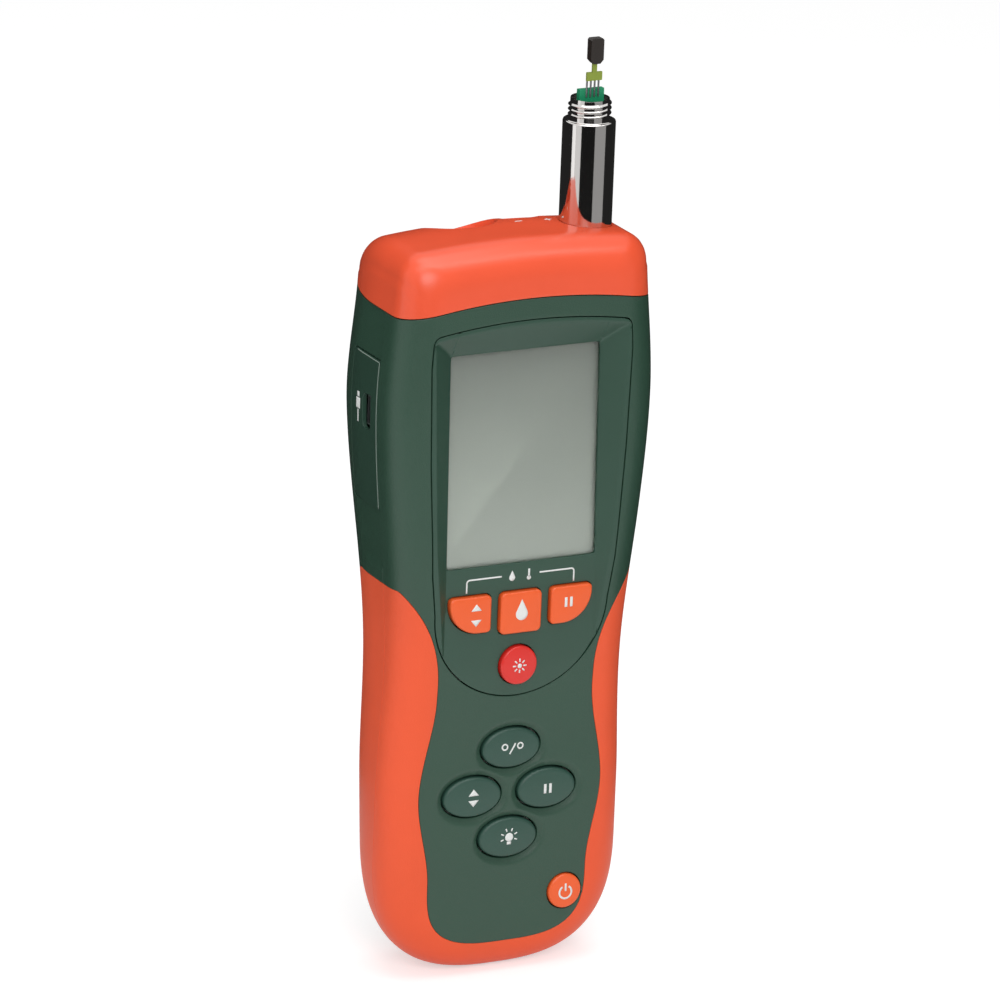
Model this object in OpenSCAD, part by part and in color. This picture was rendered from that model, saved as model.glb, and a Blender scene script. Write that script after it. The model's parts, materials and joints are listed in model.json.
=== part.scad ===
// Hand-held digital psychrometer with an infrared thermometer, standing upright.
// The front faces -Y, the probe points up along +Z and the body stands on Z = 0.
// Inside the modules, depth is counted from the front plane of the head towards the back.

/* [Body] */
// Height of the body, without the probe
body_h = 197.8; // [194:0.2:204]
// Width across the display
head_w = 75.3; // [73:0.1:80]
// Drop from the top of the body to its widest place
head_drop = 42.3; // [38:0.1:48]
// Width at the waist
waist_w = 66.2; // [64:0.1:70]
// Height of the waist
waist_z = 86; // [82:1:92]
// Width of the handle
grip_w = 68.8; // [67:0.1:73]
// Height of the widest place of the handle
grip_z = 48; // [42:1:52]
// Width of the top end
top_w = 69.5; // [67:0.1:72]
// Height of the rounded bottom end
end_h = 34; // [30:1:38]
// Squareness of the bottom end
end_power = 2.75; // [2.4:0.05:3]
// Radius of the two top corners
corner_r = 7; // [5:0.1:9]
// Radius of the arched top
roof_r = 274; // [200:2:400]
// Depth of the lower front behind the head
front_drop = 3.6; // [2.6:0.1:4.2]
// Height where the front starts to step back
drop_top = 124; // [118:1:130]
// Height where the step back ends
drop_low = 58; // [52:1:64]
// Depth of the back at the bottom
back_low = 29.6; // [29.4:0.1:33]
// Depth of the back at the top
back_top = 46.1; // [44:0.1:48]
// Radius of the front edges
front_r = 8.9; // [8:0.1:10]
// Run of the rounded back edges across the width
back_run = 10.4; // [9:0.2:14]
// Run of the rounded back edge down from the top
roof_run = 18; // [14:0.5:20]
// Depth of the rounded back edges
back_round = 18.6; // [15:0.1:20]
// Depth of the rounded back edge of the top
roof_round = 26.4; // [24:0.1:30]
// Drop from the top of the body to where that edge starts to grow
roof_turn = 47.8; // [44:0.1:52]
// Run of the rounding at the foot of the back
foot_run = 20.6; // [18:0.1:23]
// Depth of that rounding
foot_round = 19.2; // [15:0.1:20]
// Height where that rounding starts
foot_turn = 40; // [38:0.5:44]

/* [Housing] */
// Wall of the green shells
wall = 2.5; // [2.2:0.1:3]
// Thickness of the rubber grips
grip_t = 2; // [1.5:0.1:2.3]
// Depth of the parting plane between the shells
parting = 12.4; // [12:0.1:13]
// Height of the cap above its seam at the centre
cap_h = 14.1; // [12.8:0.1:15.8]
// Radius of the arched cap seam
seam_r = 172; // [150:2:220]
// Height where the grips end on the sides
grip_top = 107.6; // [105:0.2:110]
// Depth of the shallow recess in the sides of the rear shell
side_recess = 0.4; // [0.3:0.05:0.6]
// Height where the side recess starts
side_recess_z = 111.6; // [110:0.2:114]
// Gap around inserts
fit_gap = 0.25; // [0.15:0.05:0.4]

/* [Grips] */
// Half width of the green inlay at the waist
inlay_waist_w = 22.3; // [21:0.1:23]
// Height of the waist of the inlay
inlay_waist_z = 80.5; // [78:0.5:83]
// Half width of the inlay around the oval keys
inlay_wide_w = 26.2; // [25.6:0.1:27]
// Height of that widest place
inlay_wide_z = 50.5; // [49:0.5:52]
// Half width of the inlay at its foot
inlay_foot_w = 22.8; // [22.6:0.1:24]
// Height where the foot starts to round
inlay_foot_z = 27; // [25:0.5:29]
// Lowest point of the inlay
inlay_low = 8.7; // [8:0.1:10]

/* [Display] */
// Half width of the bezel at its top
bezel_w = 28.3; // [27.8:0.1:28.6]
// Drop from the cap seam to the corners of the bezel's top
bezel_drop = 8; // [6.7:0.1:8.7]
// Radius of the arched bezel top
bezel_roof_r = 160; // [140:2:200]
// Radius of the round bezel bottom
bezel_end_r = 24.5; // [24:0.1:25]
// Height of the centre of that radius
bezel_end_z = 101.1; // [100.5:0.1:102]
// Half width of the bezel just above its round end
bezel_mid_w = 25.9; // [25.4:0.1:26.2]
// Height of that place
bezel_mid_z = 112; // [110:0.5:114]
// Depth of the bezel's floor at the top of the display
dish_top = 4.3; // [3.8:0.1:4.6]
// Depth of the floor at the foot of the display and under the keys
dish_low = 2.4; // [2:0.1:2.8]
// Depth of the bezel's back face
bezel_back = 6; // [5.8:0.1:6.2]
// Width of the ledge that carries the bezel
ledge = 1.8; // [1.5:0.1:2]
// Width of the groove around the bezel
groove = 0.45; // [0.3:0.05:0.6]
// Half width of the display window
lcd_w = 21.2; // [20:0.1:21.6]
// Bottom of the display window
lcd_low = 112.6; // [112:0.1:114]
// Drop from the cap seam to the top of the display window
lcd_drop = 14.6; // [13.7:0.1:15.7]
// Thickness of the display window
lens_t = 1.2; // [1:0.1:1.4]
// Thickness of the display cell
cell_t = 2.2; // [2:0.1:2.4]
// Thickness of the lip in front of the window
lip_t = 0.8; // [0.6:0.1:1]
// Run of the sloped sides around the display
slope_run = 5.9; // [5:0.1:6.1]
// Depth of the front of the circuit board
board_y = 10.9; // [10.8:0.1:11.2]
// Thickness of the circuit board
board_t = 1.6; // [1.2:0.1:1.8]

/* [Keys] */
// Travel of every key
travel = 0.8; // [0.5:0.1:0.9]
// Gap around every key
key_gap = 0.2; // [0.15:0.05:0.3]
// Height of the key faces above their panel
key_proud = 1.6; // [1:0.1:1.9]
// Width of the flange that holds a key behind its panel
flange_w = 0.8; // [0.6:0.1:1]
// Width of the square key
square_w = 11.7; // [11:0.1:12]
// Bottom and top of the row of orange keys
row_low = 93.9; // [93.4:0.1:94.6]
// Top of the row of orange keys
row_top = 105.1; // [104.6:0.1:106]
// Inner edge of the two outer orange keys
side_key_in = 8.5; // [8.2:0.1:9]
// Outer edge of the two outer orange keys
side_key_out = 20.3; // [19.6:0.1:20.5]
// Radius of the round corner of the side keys
side_key_r = 9.5; // [8.5:0.1:10.5]
// Thickness of the keypad mat
mat_t = 1; // [0.8:0.1:1.1]
// Height of the mat's pads
pad_t = 0.6; // [0.4:0.1:0.7]
// Radius of the laser key
laser_key_r = 5.2; // [4.6:0.1:5.3]
// Height of the laser key
laser_key_z = 85.1; // [84.7:0.1:85.6]
// Half width of the oval keys
oval_a = 8.3; // [7.6:0.1:8.5]
// Half height of the oval keys
oval_b = 5.4; // [4.8:0.1:5.6]
// Height of the middle of the cross of oval keys
cross_z = 49.5; // [49:0.1:50.5]
// Reach of the cross sideways
cross_x = 10.7; // [10.4:0.1:11]
// Reach of the cross up and down
cross_reach = 12.3; // [12:0.1:12.8]
// Radius of the power key
power_r = 4.7; // [4.2:0.1:4.9]
// Place of the power key to the right
power_x = 16.9; // [16.4:0.1:17.1]
// Height of the power key
power_z = 20.3; // [20:0.1:21]

/* [Probe] */
// Place of the probe to the right
probe_x = 22.9; // [22.4:0.1:23.2]
// Depth of the probe's axis
probe_y = 18.7; // [18.2:0.1:19]
// Radius of the chrome tube
tube_r = 6.83; // [6.5:0.01:7]
// Bore of the chrome tube
tube_bore_r = 5; // [4.8:0.1:5.1]
// Height of the tube's shoulder above the body
shoulder_rise = 26.1; // [22:0.1:30]
// Radius of the threaded neck
neck_r = 5.6; // [5.4:0.05:5.8]
// Length of the threaded neck
neck_h = 5.7; // [5:0.1:7]
// Height of the tip of the sensor above that shoulder
tip_rise = 21.7; // [20:0.1:26]

/* [Back] */
// Width of the tilt stand
stand_w = 38; // [34:0.5:40]
// Drop from the cap seam to the stand's hinge
hinge_drop = 38.7; // [36.7:0.1:39.2]
// Gap between the stand's foot and the battery door
stand_gap = 3.5; // [2.5:0.5:5.5]
// Thickness of the stand
stand_t = 3.4; // [3:0.1:4]
// Radius of the stand's pin
pin_r = 1; // [0.9:0.05:1.2]
// Running clearance of the pin in the stand
pin_gap = 0.05; // [0.03:0.01:0.08]
// Width of the battery door
door_w = 33; // [32:0.5:34]
// Bottom of the battery door
door_low = 37.5; // [37:0.5:39]
// Top of the battery door
door_top = 97.5; // [97:0.5:98.5]
// Thickness of the battery door
door_t = 2; // [1.8:0.1:2.1]
// Height of the tripod socket above the stand's hinge
tripod_rise = 18; // [16:0.5:20]
// Radius of the tripod thread
tripod_r = 3.175; // [3.175]
// Depth of the tripod thread
tripod_l = 8; // [6:0.5:9]

/* [Hidden] */

// Heights that follow the top of the body
seam_z = body_h - cap_h;
head_z = body_h - head_drop;
bezel_top = seam_z - bezel_drop;
lcd_top = seam_z - lcd_drop;
shoulder_z = body_h + shoulder_rise;
tip_z = shoulder_z + tip_rise;
hinge_z = seam_z - hinge_drop;
stand_l = hinge_z - door_top - stand_gap;
tripod_z = hinge_z + tripod_rise;

// Smooth step from 0 to 1
function ease(t) = let (c = min(1, max(0, t))) c * c * (3 - 2 * c);
function mix(a, b, t) = a + (b - a) * t;

// Half width of the body at a height
function half_w(z) =
    z > head_z ? mix(head_w, top_w, ease((z - head_z) / (body_h - head_z))) / 2
    : z > waist_z ? mix(waist_w, head_w, ease((z - waist_z) / (head_z - waist_z))) / 2
    : mix(grip_w, waist_w, ease((z - grip_z) / (waist_z - grip_z))) / 2;

// Depth of the front and back surfaces at a height
function front_y(z) = front_drop * ease((drop_top - z) / (drop_top - drop_low));
function back_y(z) = mix(back_low, back_top, z / body_h);
back_lean = atan((back_top - back_low) / body_h);

// Front outline of the body, its right half from the bottom centre to the top centre
end_n = 9;
side_n = 12;
corner_n = 4;
roof_n = 3;
roof_lean = asin((top_w / 2 - corner_r) / roof_r);
corner_x = top_w / 2 - corner_r;
roof_x = corner_x + corner_r * sin(roof_lean);
function roof_z(x) = body_h - x * x / (2 * roof_r);
corner_z = roof_z(roof_x) - corner_r * cos(roof_lean);
end_pts = [for (i = [0 : end_n - 1])
    let (a = 90 - 90 * i / end_n, z = end_h * (1 - pow(sin(a), 2 / end_power)))
    [half_w(z) * pow(cos(a), 2 / end_power), z]];
side_pts = [for (i = [0 : side_n - 1])
    let (z = mix(end_h, corner_z, i / side_n)) [half_w(z), z]];
corner_pts = [for (i = [0 : corner_n])
    let (a = (90 - roof_lean) * i / corner_n)
    [corner_x + corner_r * cos(a), corner_z + corner_r * sin(a)]];
roof_pts = [for (i = [1 : roof_n]) let (x = roof_x * (1 - i / roof_n)) [x, roof_z(x)]];
right_pts = concat(end_pts, side_pts, corner_pts, roof_pts);
half_n = len(right_pts) - 1;
left_pts = [for (i = [half_n - 1 : -1 : 1]) [-right_pts[i][0], right_pts[i][1]]];
outline = concat(right_pts, left_pts);
outline_n = len(outline);

// Inward normals of the outline, for walls that follow it
function unit(v) = v / norm(v);
function inward(i) = let (
    a = outline[(i + outline_n - 1) % outline_n],
    b = outline[(i + 1) % outline_n],
    t = unit(b - a)) [-t[1], t[0]];
moves = [for (i = [0 : outline_n - 1]) inward(i)];

// Edge of the flat face that a rounded edge runs out into
function face_edge(p, side, foot, roof) = [
    p[0] * (half_w(p[1]) - side) / half_w(p[1]),
    foot + p[1] * (body_h - foot - roof) / body_h];
front_edge = [for (p = outline) face_edge(p, front_r, front_r, front_r)];
back_edge = [for (p = outline) face_edge(p, back_run, foot_run, roof_run)];

// Depth of the rounded back edge at a height, larger at the top end
function round_at(z) = min(
    mix(mix(back_round, roof_round, ease((z - body_h + roof_turn) / 40)), foot_round, ease((foot_turn - z) / 34)),
    back_y(z) - front_y(z) - front_r - 1);

// Points of the skin: the angle runs from the flat face into the wall of the edge
function front_point(i, a, off) = let (p = mix(outline[i] + moves[i] * off, front_edge[i], 1 - cos(a)))
    [p[0], front_y(p[1]) + off + (front_r - off) * (1 - sin(a)), p[1]];
function back_point(i, a, off) = let (p = mix(outline[i] + moves[i] * off, back_edge[i], 1 - cos(a)))
    [p[0], back_y(p[1]) - off - (round_at(outline[i][1]) - off) * (1 - sin(a)), p[1]];

// Closed skin of the body, moved inwards by a distance that may change with the height
module skin(side_off, end_off, front_angles, back_angles) {
    offs = [for (p = outline) mix(side_off, end_off, 1 - ease((p[1] - grip_top + 2) / 10))];
    rings = concat(
        [for (a = front_angles) [for (i = [0 : outline_n - 1]) front_point(i, a, offs[i])]],
        [for (a = back_angles) [for (i = [0 : outline_n - 1]) back_point(i, a, offs[i])]]);
    last = len(rings) - 1;
    n = outline_n;
    sides = [for (r = [0 : last - 1]) for (i = [0 : n - 1])
        let (j = (i + 1) % n, a = r * n, b = a + n)
        each [[a + i, a + j, b + i], [a + j, b + j, b + i]]];
    front_cap = [for (i = [0 : half_n - 1])
        let (j = (n - i) % n, k = n - i - 1)
        each (i == 0 ? [[0, k, 1]] : i == half_n - 1 ? [[i, j, i + 1]] : [[i, j, i + 1], [i + 1, j, k]])];
    back_cap = [for (f = front_cap) [f[0] + last * n, f[2] + last * n, f[1] + last * n]];
    polyhedron([for (r = rings) each r], concat(sides, front_cap, back_cap), convexity = 6);
}
module outer_skin() { skin(0, 0, [90, 60, 30, 0], [0, 25, 50, 70, 90]); }
module inner_skin(side_off, end_off) { skin(side_off, end_off, [90, 45, 0], [0, 30, 60, 90]); }

// Places a shape drawn from the front, as a plate between two depths
module plate(y0, y1) {
    translate([0, y1, 0])
        rotate([90, 0, 0])
            linear_extrude(y1 - y0)
                children();
}

// Places a turned shape, drawn along +Z, with its axis along the depth
module along_depth(x, y, z) {
    translate([x, y, z])
        rotate([-90, 0, 0])
            children();
}

// A local frame on the back: +Y points out of the sloped back surface
module on_back(z) {
    translate([0, back_y(z), z])
        rotate([-back_lean, 0, 0])
            children();
}

// A block between two corners
module block(low, high) {
    translate(low)
        cube(high - low);
}

// Rounds the outer corners of a flat shape
module rounded(r) {
    offset(r = r)
        offset(delta = -r)
            children();
}

// The whole object stands with the middle of its depth over the origin
deepest = max([for (i = [0 : outline_n - 1]) back_point(i, 90, 0)[1]]);
module placed() {
    translate([0, -deepest / 2, 0])
        children();
}

module before_parting() { plate(-1, parting) square([200, 600], center = true); }
module behind_parting() { plate(parting, 80) square([200, 600], center = true); }

// Everything under the arched seam of the cap
module below_seam() {
    plate(-2, 80)
        intersection() {
            translate([0, seam_z - seam_r])
                circle(seam_r, $fn = 240);
            translate([-60, -10])
                square([120, 220]);
        }
}

// Green inlay of the handle: its half width at a height
function inlay_w(z) =
    z > inlay_waist_z ? inlay_waist_w
        + (half_w(grip_top) - inlay_waist_w) * pow((z - inlay_waist_z) / (grip_top + 1 - inlay_waist_z), 2.2)
    : z > inlay_wide_z ? mix(inlay_wide_w, inlay_waist_w, ease((z - inlay_wide_z) / (inlay_waist_z - inlay_wide_z - 3)))
    : z > inlay_foot_z ? mix(inlay_foot_w, inlay_wide_w, ease((z - inlay_foot_z) / (inlay_wide_z - inlay_foot_z)))
    : inlay_foot_w * pow(1 - pow((inlay_foot_z - z) / (inlay_foot_z - inlay_low), 3.2), 1 / 3.2);
inlay_pts = let (
    foot = [for (a = [90 : -15 : 15]) let (z = inlay_foot_z - (inlay_foot_z - inlay_low) * pow(sin(a), 2 / 3.2))
        [inlay_w(z + 0.0001), z]],
    side = [for (i = [0 : 20]) let (z = mix(inlay_foot_z, grip_top + 1, i / 20)) [inlay_w(z), z]])
    concat(foot, side);
module inlay_shape() {
    polygon(concat(
        inlay_pts,
        [[60, grip_top + 1], [60, 240], [-60, 240], [-60, grip_top + 1]],
        [for (i = [len(inlay_pts) - 1 : -1 : 1]) [-inlay_pts[i][0], inlay_pts[i][1]]]));
}

// Space that the rubber grips take out of the shells
module grip_zone() {
    difference() {
        plate(-2, 80)
            difference() {
                translate([-60, -10])
                    square([120, grip_top + 10]);
                inlay_shape();
            }
        inner_skin(grip_t, grip_t);
    }
}

// Bezel plate around the display, seen from the front
module bezel_shape(grow) {
    side = [[bezel_mid_w, bezel_mid_z], [bezel_w - 0.7, bezel_mid_z + 30], [bezel_w, bezel_top - 8]];
    corner = [bezel_w - 0.5, bezel_top - 0.2];
    end_arc = [for (a = [0 : 6 : 90]) [bezel_end_r * sin(a), bezel_end_z - bezel_end_r * cos(a)]];
    roof_mid = bezel_top - sqrt(pow(bezel_roof_r, 2) - pow(corner[0], 2));
    roof_arc = [for (i = [1 : 5]) let (x = corner[0] * (1 - i / 5))
        [x, roof_mid + sqrt(pow(bezel_roof_r, 2) - x * x)]];
    right = concat(end_arc, side, [corner], roof_arc);
    offset(delta = grow)
        rounded(2.2)
            polygon(concat(right, [for (i = [len(right) - 2 : -1 : 1]) [-right[i][0], right[i][1]]]));
}

// Everything behind the front surface, down to a depth
module behind_front(y1) {
    steps = [for (i = [0 : 12]) mix(drop_low, drop_top, i / 12)];
    front = [for (z = steps) [front_y(z), z]];
    translate([-60, 0, 0])
        rotate([90, 0, 90])
            linear_extrude(120)
                polygon(concat([[front_drop, -10]], front, [[0, 240], [y1, 240], [y1, -10]]));
}

// Recess of the bezel: its floor leans with the display and runs out level under the keys,
// with mitred slopes at the sides and at the top
module bezel_dish() {
    slope = slope_run / dish_top;
    module bar(z, floor_y, depth) {
        w = lcd_w + 0.2 + (floor_y - depth) * slope;
        up = z > lcd_low ? (floor_y - depth) * slope : 0;
        block([-w, depth - 0.01, z + up - 0.01], [w, depth, z + up]);
    }
    hull() {
        for (depth = [-1, dish_top]) bar(lcd_top + 0.2, dish_top, depth);
        for (depth = [-1, dish_low]) bar(lcd_low, dish_low, depth);
    }
    hull() {
        for (depth = [-1, dish_low]) bar(lcd_low, dish_low, depth);
        for (depth = [-1, dish_low]) bar(60, dish_low, depth);
    }
}

// A local frame on the leaning floor at the foot of the display, +Y into the meter
display_lean = atan((dish_top - dish_low) / (lcd_top - lcd_low));
module on_display() {
    translate([0, dish_low, lcd_low])
        rotate([-display_lean, 0, 0])
            children();
}

// Outlines of the keys
module square_key_shape() {
    rounded(1.4)
        translate([-square_w / 2, row_low])
            square([square_w, row_top - row_low]);
}
module side_key_shape(side) {
    mirror([side < 0 ? 1 : 0, 0])
        rounded(1.1)
            intersection() {
                union() {
                    translate([side_key_in, row_low])
                        square([side_key_out - side_key_r - side_key_in, row_top - row_low]);
                    translate([side_key_in, row_top - 0.5])
                        square([side_key_out - side_key_in, 0.5]);
                    translate([side_key_out - side_key_r, row_top - 0.5])
                        circle(side_key_r, $fn = 64);
                }
                translate([side_key_in, row_low])
                    square([side_key_out - side_key_in, row_top - row_low]);
                translate([0, row_top - 0.5 - side_key_r])
                    square([40, 40]);
            }
}
module oval_shape(grow) {
    polygon([for (i = [0 : 31]) let (a = i * 360 / 32)
        [(oval_a + grow) * cos(a), (oval_b + grow) * sin(a)]]);
}
cross_keys = [[0, cross_z + cross_reach], [-cross_x, cross_z], [cross_x, cross_z], [0, cross_z - cross_reach]];
panel_back = front_drop + 2.8;
key_end = board_y - mat_t - pad_t - travel - 0.1;

// A key with a flat-topped cap, a flange behind its panel and a post
module moulded_key(face, back) {
    hull() {
        plate(face, face + 0.1) offset(delta = -0.6) children();
        plate(face + 0.6, back + 0.4) children();
    }
    plate(back + 0.15, back + 1.15) offset(delta = flange_w) children();
    if (back + 1.15 < key_end)
        plate(back + 0.8, key_end) offset(delta = -1.6) children();
}
module round_key(x, z, r, face, back) {
    along_depth(x, face, z)
        rotate_extrude($fn = 64)
            polygon([
                [0, 0.25], [r - 1.6, 0.1], [r - 0.7, 0], [r - 0.2, 0.15], [r, 0.6], [r, back + 0.15 - face],
                [r + flange_w, back + 0.15 - face], [r + flange_w, back + 1.15 - face],
                [r - 1.6, back + 1.15 - face], [r - 1.6, key_end - face], [0, key_end - face]]);
}
module key_holes() {
    plate(-1, parting) {
        offset(delta = key_gap) square_key_shape();
        for (side = [-1, 1]) offset(delta = key_gap) side_key_shape(side);
    }
    along_depth(0, -1, laser_key_z) cylinder(h = parting + 1, r = laser_key_r + key_gap, $fn = 64);
}

// Places of bosses and screws
head_screw = [head_w / 2 - 9.15, seam_z - 22.1];
foot_screw = [19, 29.6];
screw_places = [
    for (s = [-1, 1]) [s * head_screw[0], head_screw[1], 24],
    for (s = [-1, 1]) [s * foot_screw[0], foot_screw[1], 20]];
board_places = [[9.85 - head_w / 2, seam_z - 10.1], [head_w / 2 - 8.65, seam_z - 38.1], [-26.5, 107.6], [26.5, 107.6], [-25, 55.6], [25, 55.6]];
ir_x = -7.8;
ir_y = 30.4;
scoop_z = body_h - 9.2;
lens_x = ir_x - 2.2;
laser_x = ir_x + 5;
couple_low = [3.6, 26, seam_z - 2.7];
couple_high = [15.2, 33, body_h - 3.8];
couple_y = (couple_low[1] + couple_high[1]) / 2;
couple_slots = [couple_low[0] + 1.85, couple_high[0] - 1.85];
flange_z = lcd_top + 2.5;
slot_y = 18.6;
slot_l = 9.4;
slot_t = 4.35;
panel_t = 1;
panel_low = grip_top + 19.8;
panel_high = seam_z - 16.7;
slot_z = panel_high - 14.8;
socket_x = 1.45 - head_w / 2;
slot_end = socket_x + 3.2;
panel_end = 28.1;
bay_low = 46.2;
bay_high = 95.5;
bay_w = 13.75;
bay_front = 13.7;
battery_t = 17.3;
battery_y = bay_front + 0.2 + battery_t / 2;
door_screw_z = door_low + 4.2;

module front_islands() {
    plate(1, bezel_back + 2.2) bezel_shape(2.2);
    for (s = screw_places) along_depth(s[0], 0, s[1]) cylinder(h = 20, r = 3.6, $fn = 32);
    for (b = board_places) along_depth(b[0], 0, b[1]) cylinder(h = board_y, r = 2.6, $fn = 32);
    block([26.5, 5, flange_z - 3], [34, 20, flange_z + 5.5]);
}

// Channel for the probe tube and its flange, open towards the front
module probe_channel() {
    translate([probe_x, probe_y, flange_z - 6]) {
        cylinder(h = 14, r = tube_r + 0.1, $fn = 64);
        translate([0, 0, 5.9])
            cylinder(h = 2.7, r = tube_r + 1.6, $fn = 64);
    }
}

module front_housing() {
    color("#24443a")
        placed()
            difference() {
                intersection() {
                    outer_skin();
                    before_parting();
                    below_seam();
                }
                grip_zone();
                difference() {
                    union() {
                        inner_skin(wall, wall + grip_t);
                        plate(panel_back, parting + 1)
                            intersection() {
                                offset(delta = -2) inlay_shape();
                                translate([-40, inlay_low + 1])
                                    square([80, grip_top - 20]);
                            }
                        along_depth(power_x, panel_back, power_z)
                            cylinder(h = parting, r = power_r + flange_w + 0.4, $fn = 48);
                    }
                    front_islands();
                    plate(-1, panel_back)
                        translate([-40, 0])
                            square([80, bezel_end_z - bezel_end_r - 2.3]);
                }
                plate(-1, bezel_back) bezel_shape(groove);
                plate(-1, parting + 1) bezel_shape(-ledge);
                for (k = cross_keys) {
                    translate([k[0], 0, k[1]]) {
                        plate(-1, parting) oval_shape(key_gap);
                        hull() {
                            plate(front_y(k[1]) - 1, front_y(k[1]) - 0.9) oval_shape(2.9);
                            plate(front_y(k[1]) + 0.9, front_y(k[1]) + 1) oval_shape(0.3);
                        }
                    }
                }
                along_depth(power_x, -1, power_z)
                    cylinder(h = parting, r = power_r + key_gap, $fn = 64);
                probe_channel();
                for (s = screw_places) along_depth(s[0], 8, s[1]) cylinder(h = 9, r = 1.25, $fn = 32);
                for (b = board_places) along_depth(b[0], 6.6, b[1]) cylinder(h = 9, r = 0.9, $fn = 32);
            }
}

module rear_islands() {
    for (s = screw_places) along_depth(s[0], 0, s[1]) cylinder(h = 60, r = 4.6, $fn = 32);
    block([-bay_w - 1.6, bay_front - 1, bay_low - 1.6], [bay_w + 1.6, 60, bay_high + 1.6]);
    on_back(hinge_z)
        block([-stand_w / 2 - 2.3, -stand_t - 2.3, -stand_l - 2.5], [stand_w / 2 + 2.3, 1, stand_t / 2 + 2.5]);
    on_back(tripod_z)
        rotate([90, 0, 0])
            translate([0, 0, -1])
                cylinder(h = 13.5, r = 7, $fn = 48);
    on_back(door_screw_z)
        rotate([90, 0, 0])
            cylinder(h = 14, r = 3.4, $fn = 32);
    block([13, parting - 1, flange_z - 3.2], [36, probe_y + 10, flange_z + 5.8]);
}

// Side wall band of the body between two heights, from its surface down to a thickness
module side_band(z0, z1, thickness) {
    steps = [for (i = [0 : 10]) mix(z0, z1, i / 10)];
    polygon(concat(
        [for (z = steps) [-half_w(z) + thickness, z]],
        [[-60, z1], [-60, z0]]));
}

module rear_housing() {
    color("#1f3b32")
        placed()
            difference() {
                intersection() {
                    outer_skin();
                    behind_parting();
                    below_seam();
                }
                grip_zone();
                difference() {
                    inner_skin(wall, wall + grip_t);
                    rear_islands();
                }
                for (m = [0, 1])
                    mirror([m, 0, 0])
                        plate(parting - 1, 60) side_band(side_recess_z, seam_z + 4, side_recess);
                plate(parting - 1, panel_end + fit_gap)
                    side_band(panel_low - fit_gap, panel_high + fit_gap, panel_t);
                block([-60, slot_y - slot_t / 2, slot_z - slot_l / 2], [slot_end, slot_y + slot_t / 2, slot_z + slot_l / 2]);
                stand_recess();
                on_back((door_low + door_top) / 2)
                    plate(-door_t, 5)
                        rounded(3)
                            square([door_w + 2 * fit_gap, door_top - door_low + 2 * fit_gap], center = true);
                block([-bay_w, bay_front, bay_low], [bay_w, 60, bay_high]);
                on_back(door_screw_z)
                    rotate([90, 0, 0])
                        cylinder(h = 12, r = 1.05, $fn = 24);
                on_back(tripod_z)
                    rotate([90, 0, 0])
                        translate([0, 0, -2])
                            cylinder(h = 2 + 0.3 + tripod_l + 2, r = 5, $fn = 48);
                probe_channel();
                block([probe_x - tube_r - 0.1, 0, flange_z - 6], [probe_x + tube_r + 0.1, probe_y, flange_z + 8]);
                block([probe_x - tube_r - 1.6, 0, flange_z - 0.1], [probe_x + tube_r + 1.6, probe_y, flange_z + 2.6]);
                for (s = screw_places) {
                    along_depth(s[0], s[2], s[1]) cylinder(h = 40, r = 3.1, $fn = 32);
                    along_depth(s[0], parting - 1, s[1]) cylinder(h = 40, r = 1.6, $fn = 32);
                }
            }
}

module stand_recess() {
    w = stand_w / 2 + 0.3;
    on_back(hinge_z) {
        block([-w, -stand_t - 0.3, -stand_l - 0.3], [w, 5, 0]);
        translate([-w, -stand_t / 2, 0])
            rotate([0, 90, 0])
                cylinder(h = 2 * w, r = stand_t / 2 + 0.3, $fn = 48);
        block([-w, -stand_t / 2, -1], [w, 5, stand_t / 2 + 0.3]);
        translate([0, 5.6, -stand_l - 1])
            sphere(r = 9, $fn = 48);
        translate([-stand_w / 2 - 4, -stand_t / 2, 0])
            rotate([0, 90, 0])
                cylinder(h = stand_w + 8, r = pin_r, $fn = 32);
    }
}

module top_cap() {
    color("#e8502c")
        placed()
            difference() {
                outer_skin();
                below_seam();
                difference() {
                    inner_skin(wall + 0.3, wall + 0.3);
                    translate([ir_x, ir_y, scoop_z - 6])
                        cylinder(h = 30, r = 12, $fn = 64);
                    block(couple_low - [1.4, 1.4, -2], couple_high + [1.4, 1.4, 20]);
                    translate([probe_x, probe_y, body_h - 12])
                        cylinder(h = 20, r = tube_r + 2.5, $fn = 64);
                }
                translate([ir_x, ir_y, scoop_z])
                    cylinder(h = 10, r1 = 7, r2 = 10.6, $fn = 96);
                translate([lens_x, ir_y, scoop_z - 10]) {
                    cylinder(h = 12, r = 3.6, $fn = 48);
                    cylinder(h = 7.2, r = 4.9, $fn = 48);
                    translate([0, 0, 8.2])
                        cylinder(h = 5, r = 4.1, $fn = 48);
                }
                translate([laser_x, ir_y, scoop_z - 10]) {
                    cylinder(h = 12, r = 1.2, $fn = 32);
                    cylinder(h = 7.2, r = 2.2, $fn = 32);
                }
                block(couple_low - [0.2, 0.2, 5], [couple_high[0] + 0.2, couple_high[1] + 0.2, body_h + 5]);
                translate([probe_x, probe_y, seam_z - 8])
                    cylinder(h = 40, r = tube_r + 0.1, $fn = 96);
            }
}

module front_grip() {
    color("#ee5a30")
        placed()
            intersection() {
                outer_skin();
                grip_zone();
                before_parting();
            }
}

module rear_grip() {
    color("#e5522c")
        placed()
            intersection() {
                outer_skin();
                grip_zone();
                behind_parting();
            }
}

module bezel_plate() {
    color("#2c5044")
        placed()
            difference() {
                intersection() {
                    behind_front(bezel_back);
                    plate(-1, bezel_back) bezel_shape(0);
                }
                bezel_dish();
                plate(-1, bezel_back + 1)
                    translate([-lcd_w, lcd_low])
                        square([2 * lcd_w, lcd_top - lcd_low]);
                display_sheet(lip_t, 9, 2.4);
                key_holes();
            }
}

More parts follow.
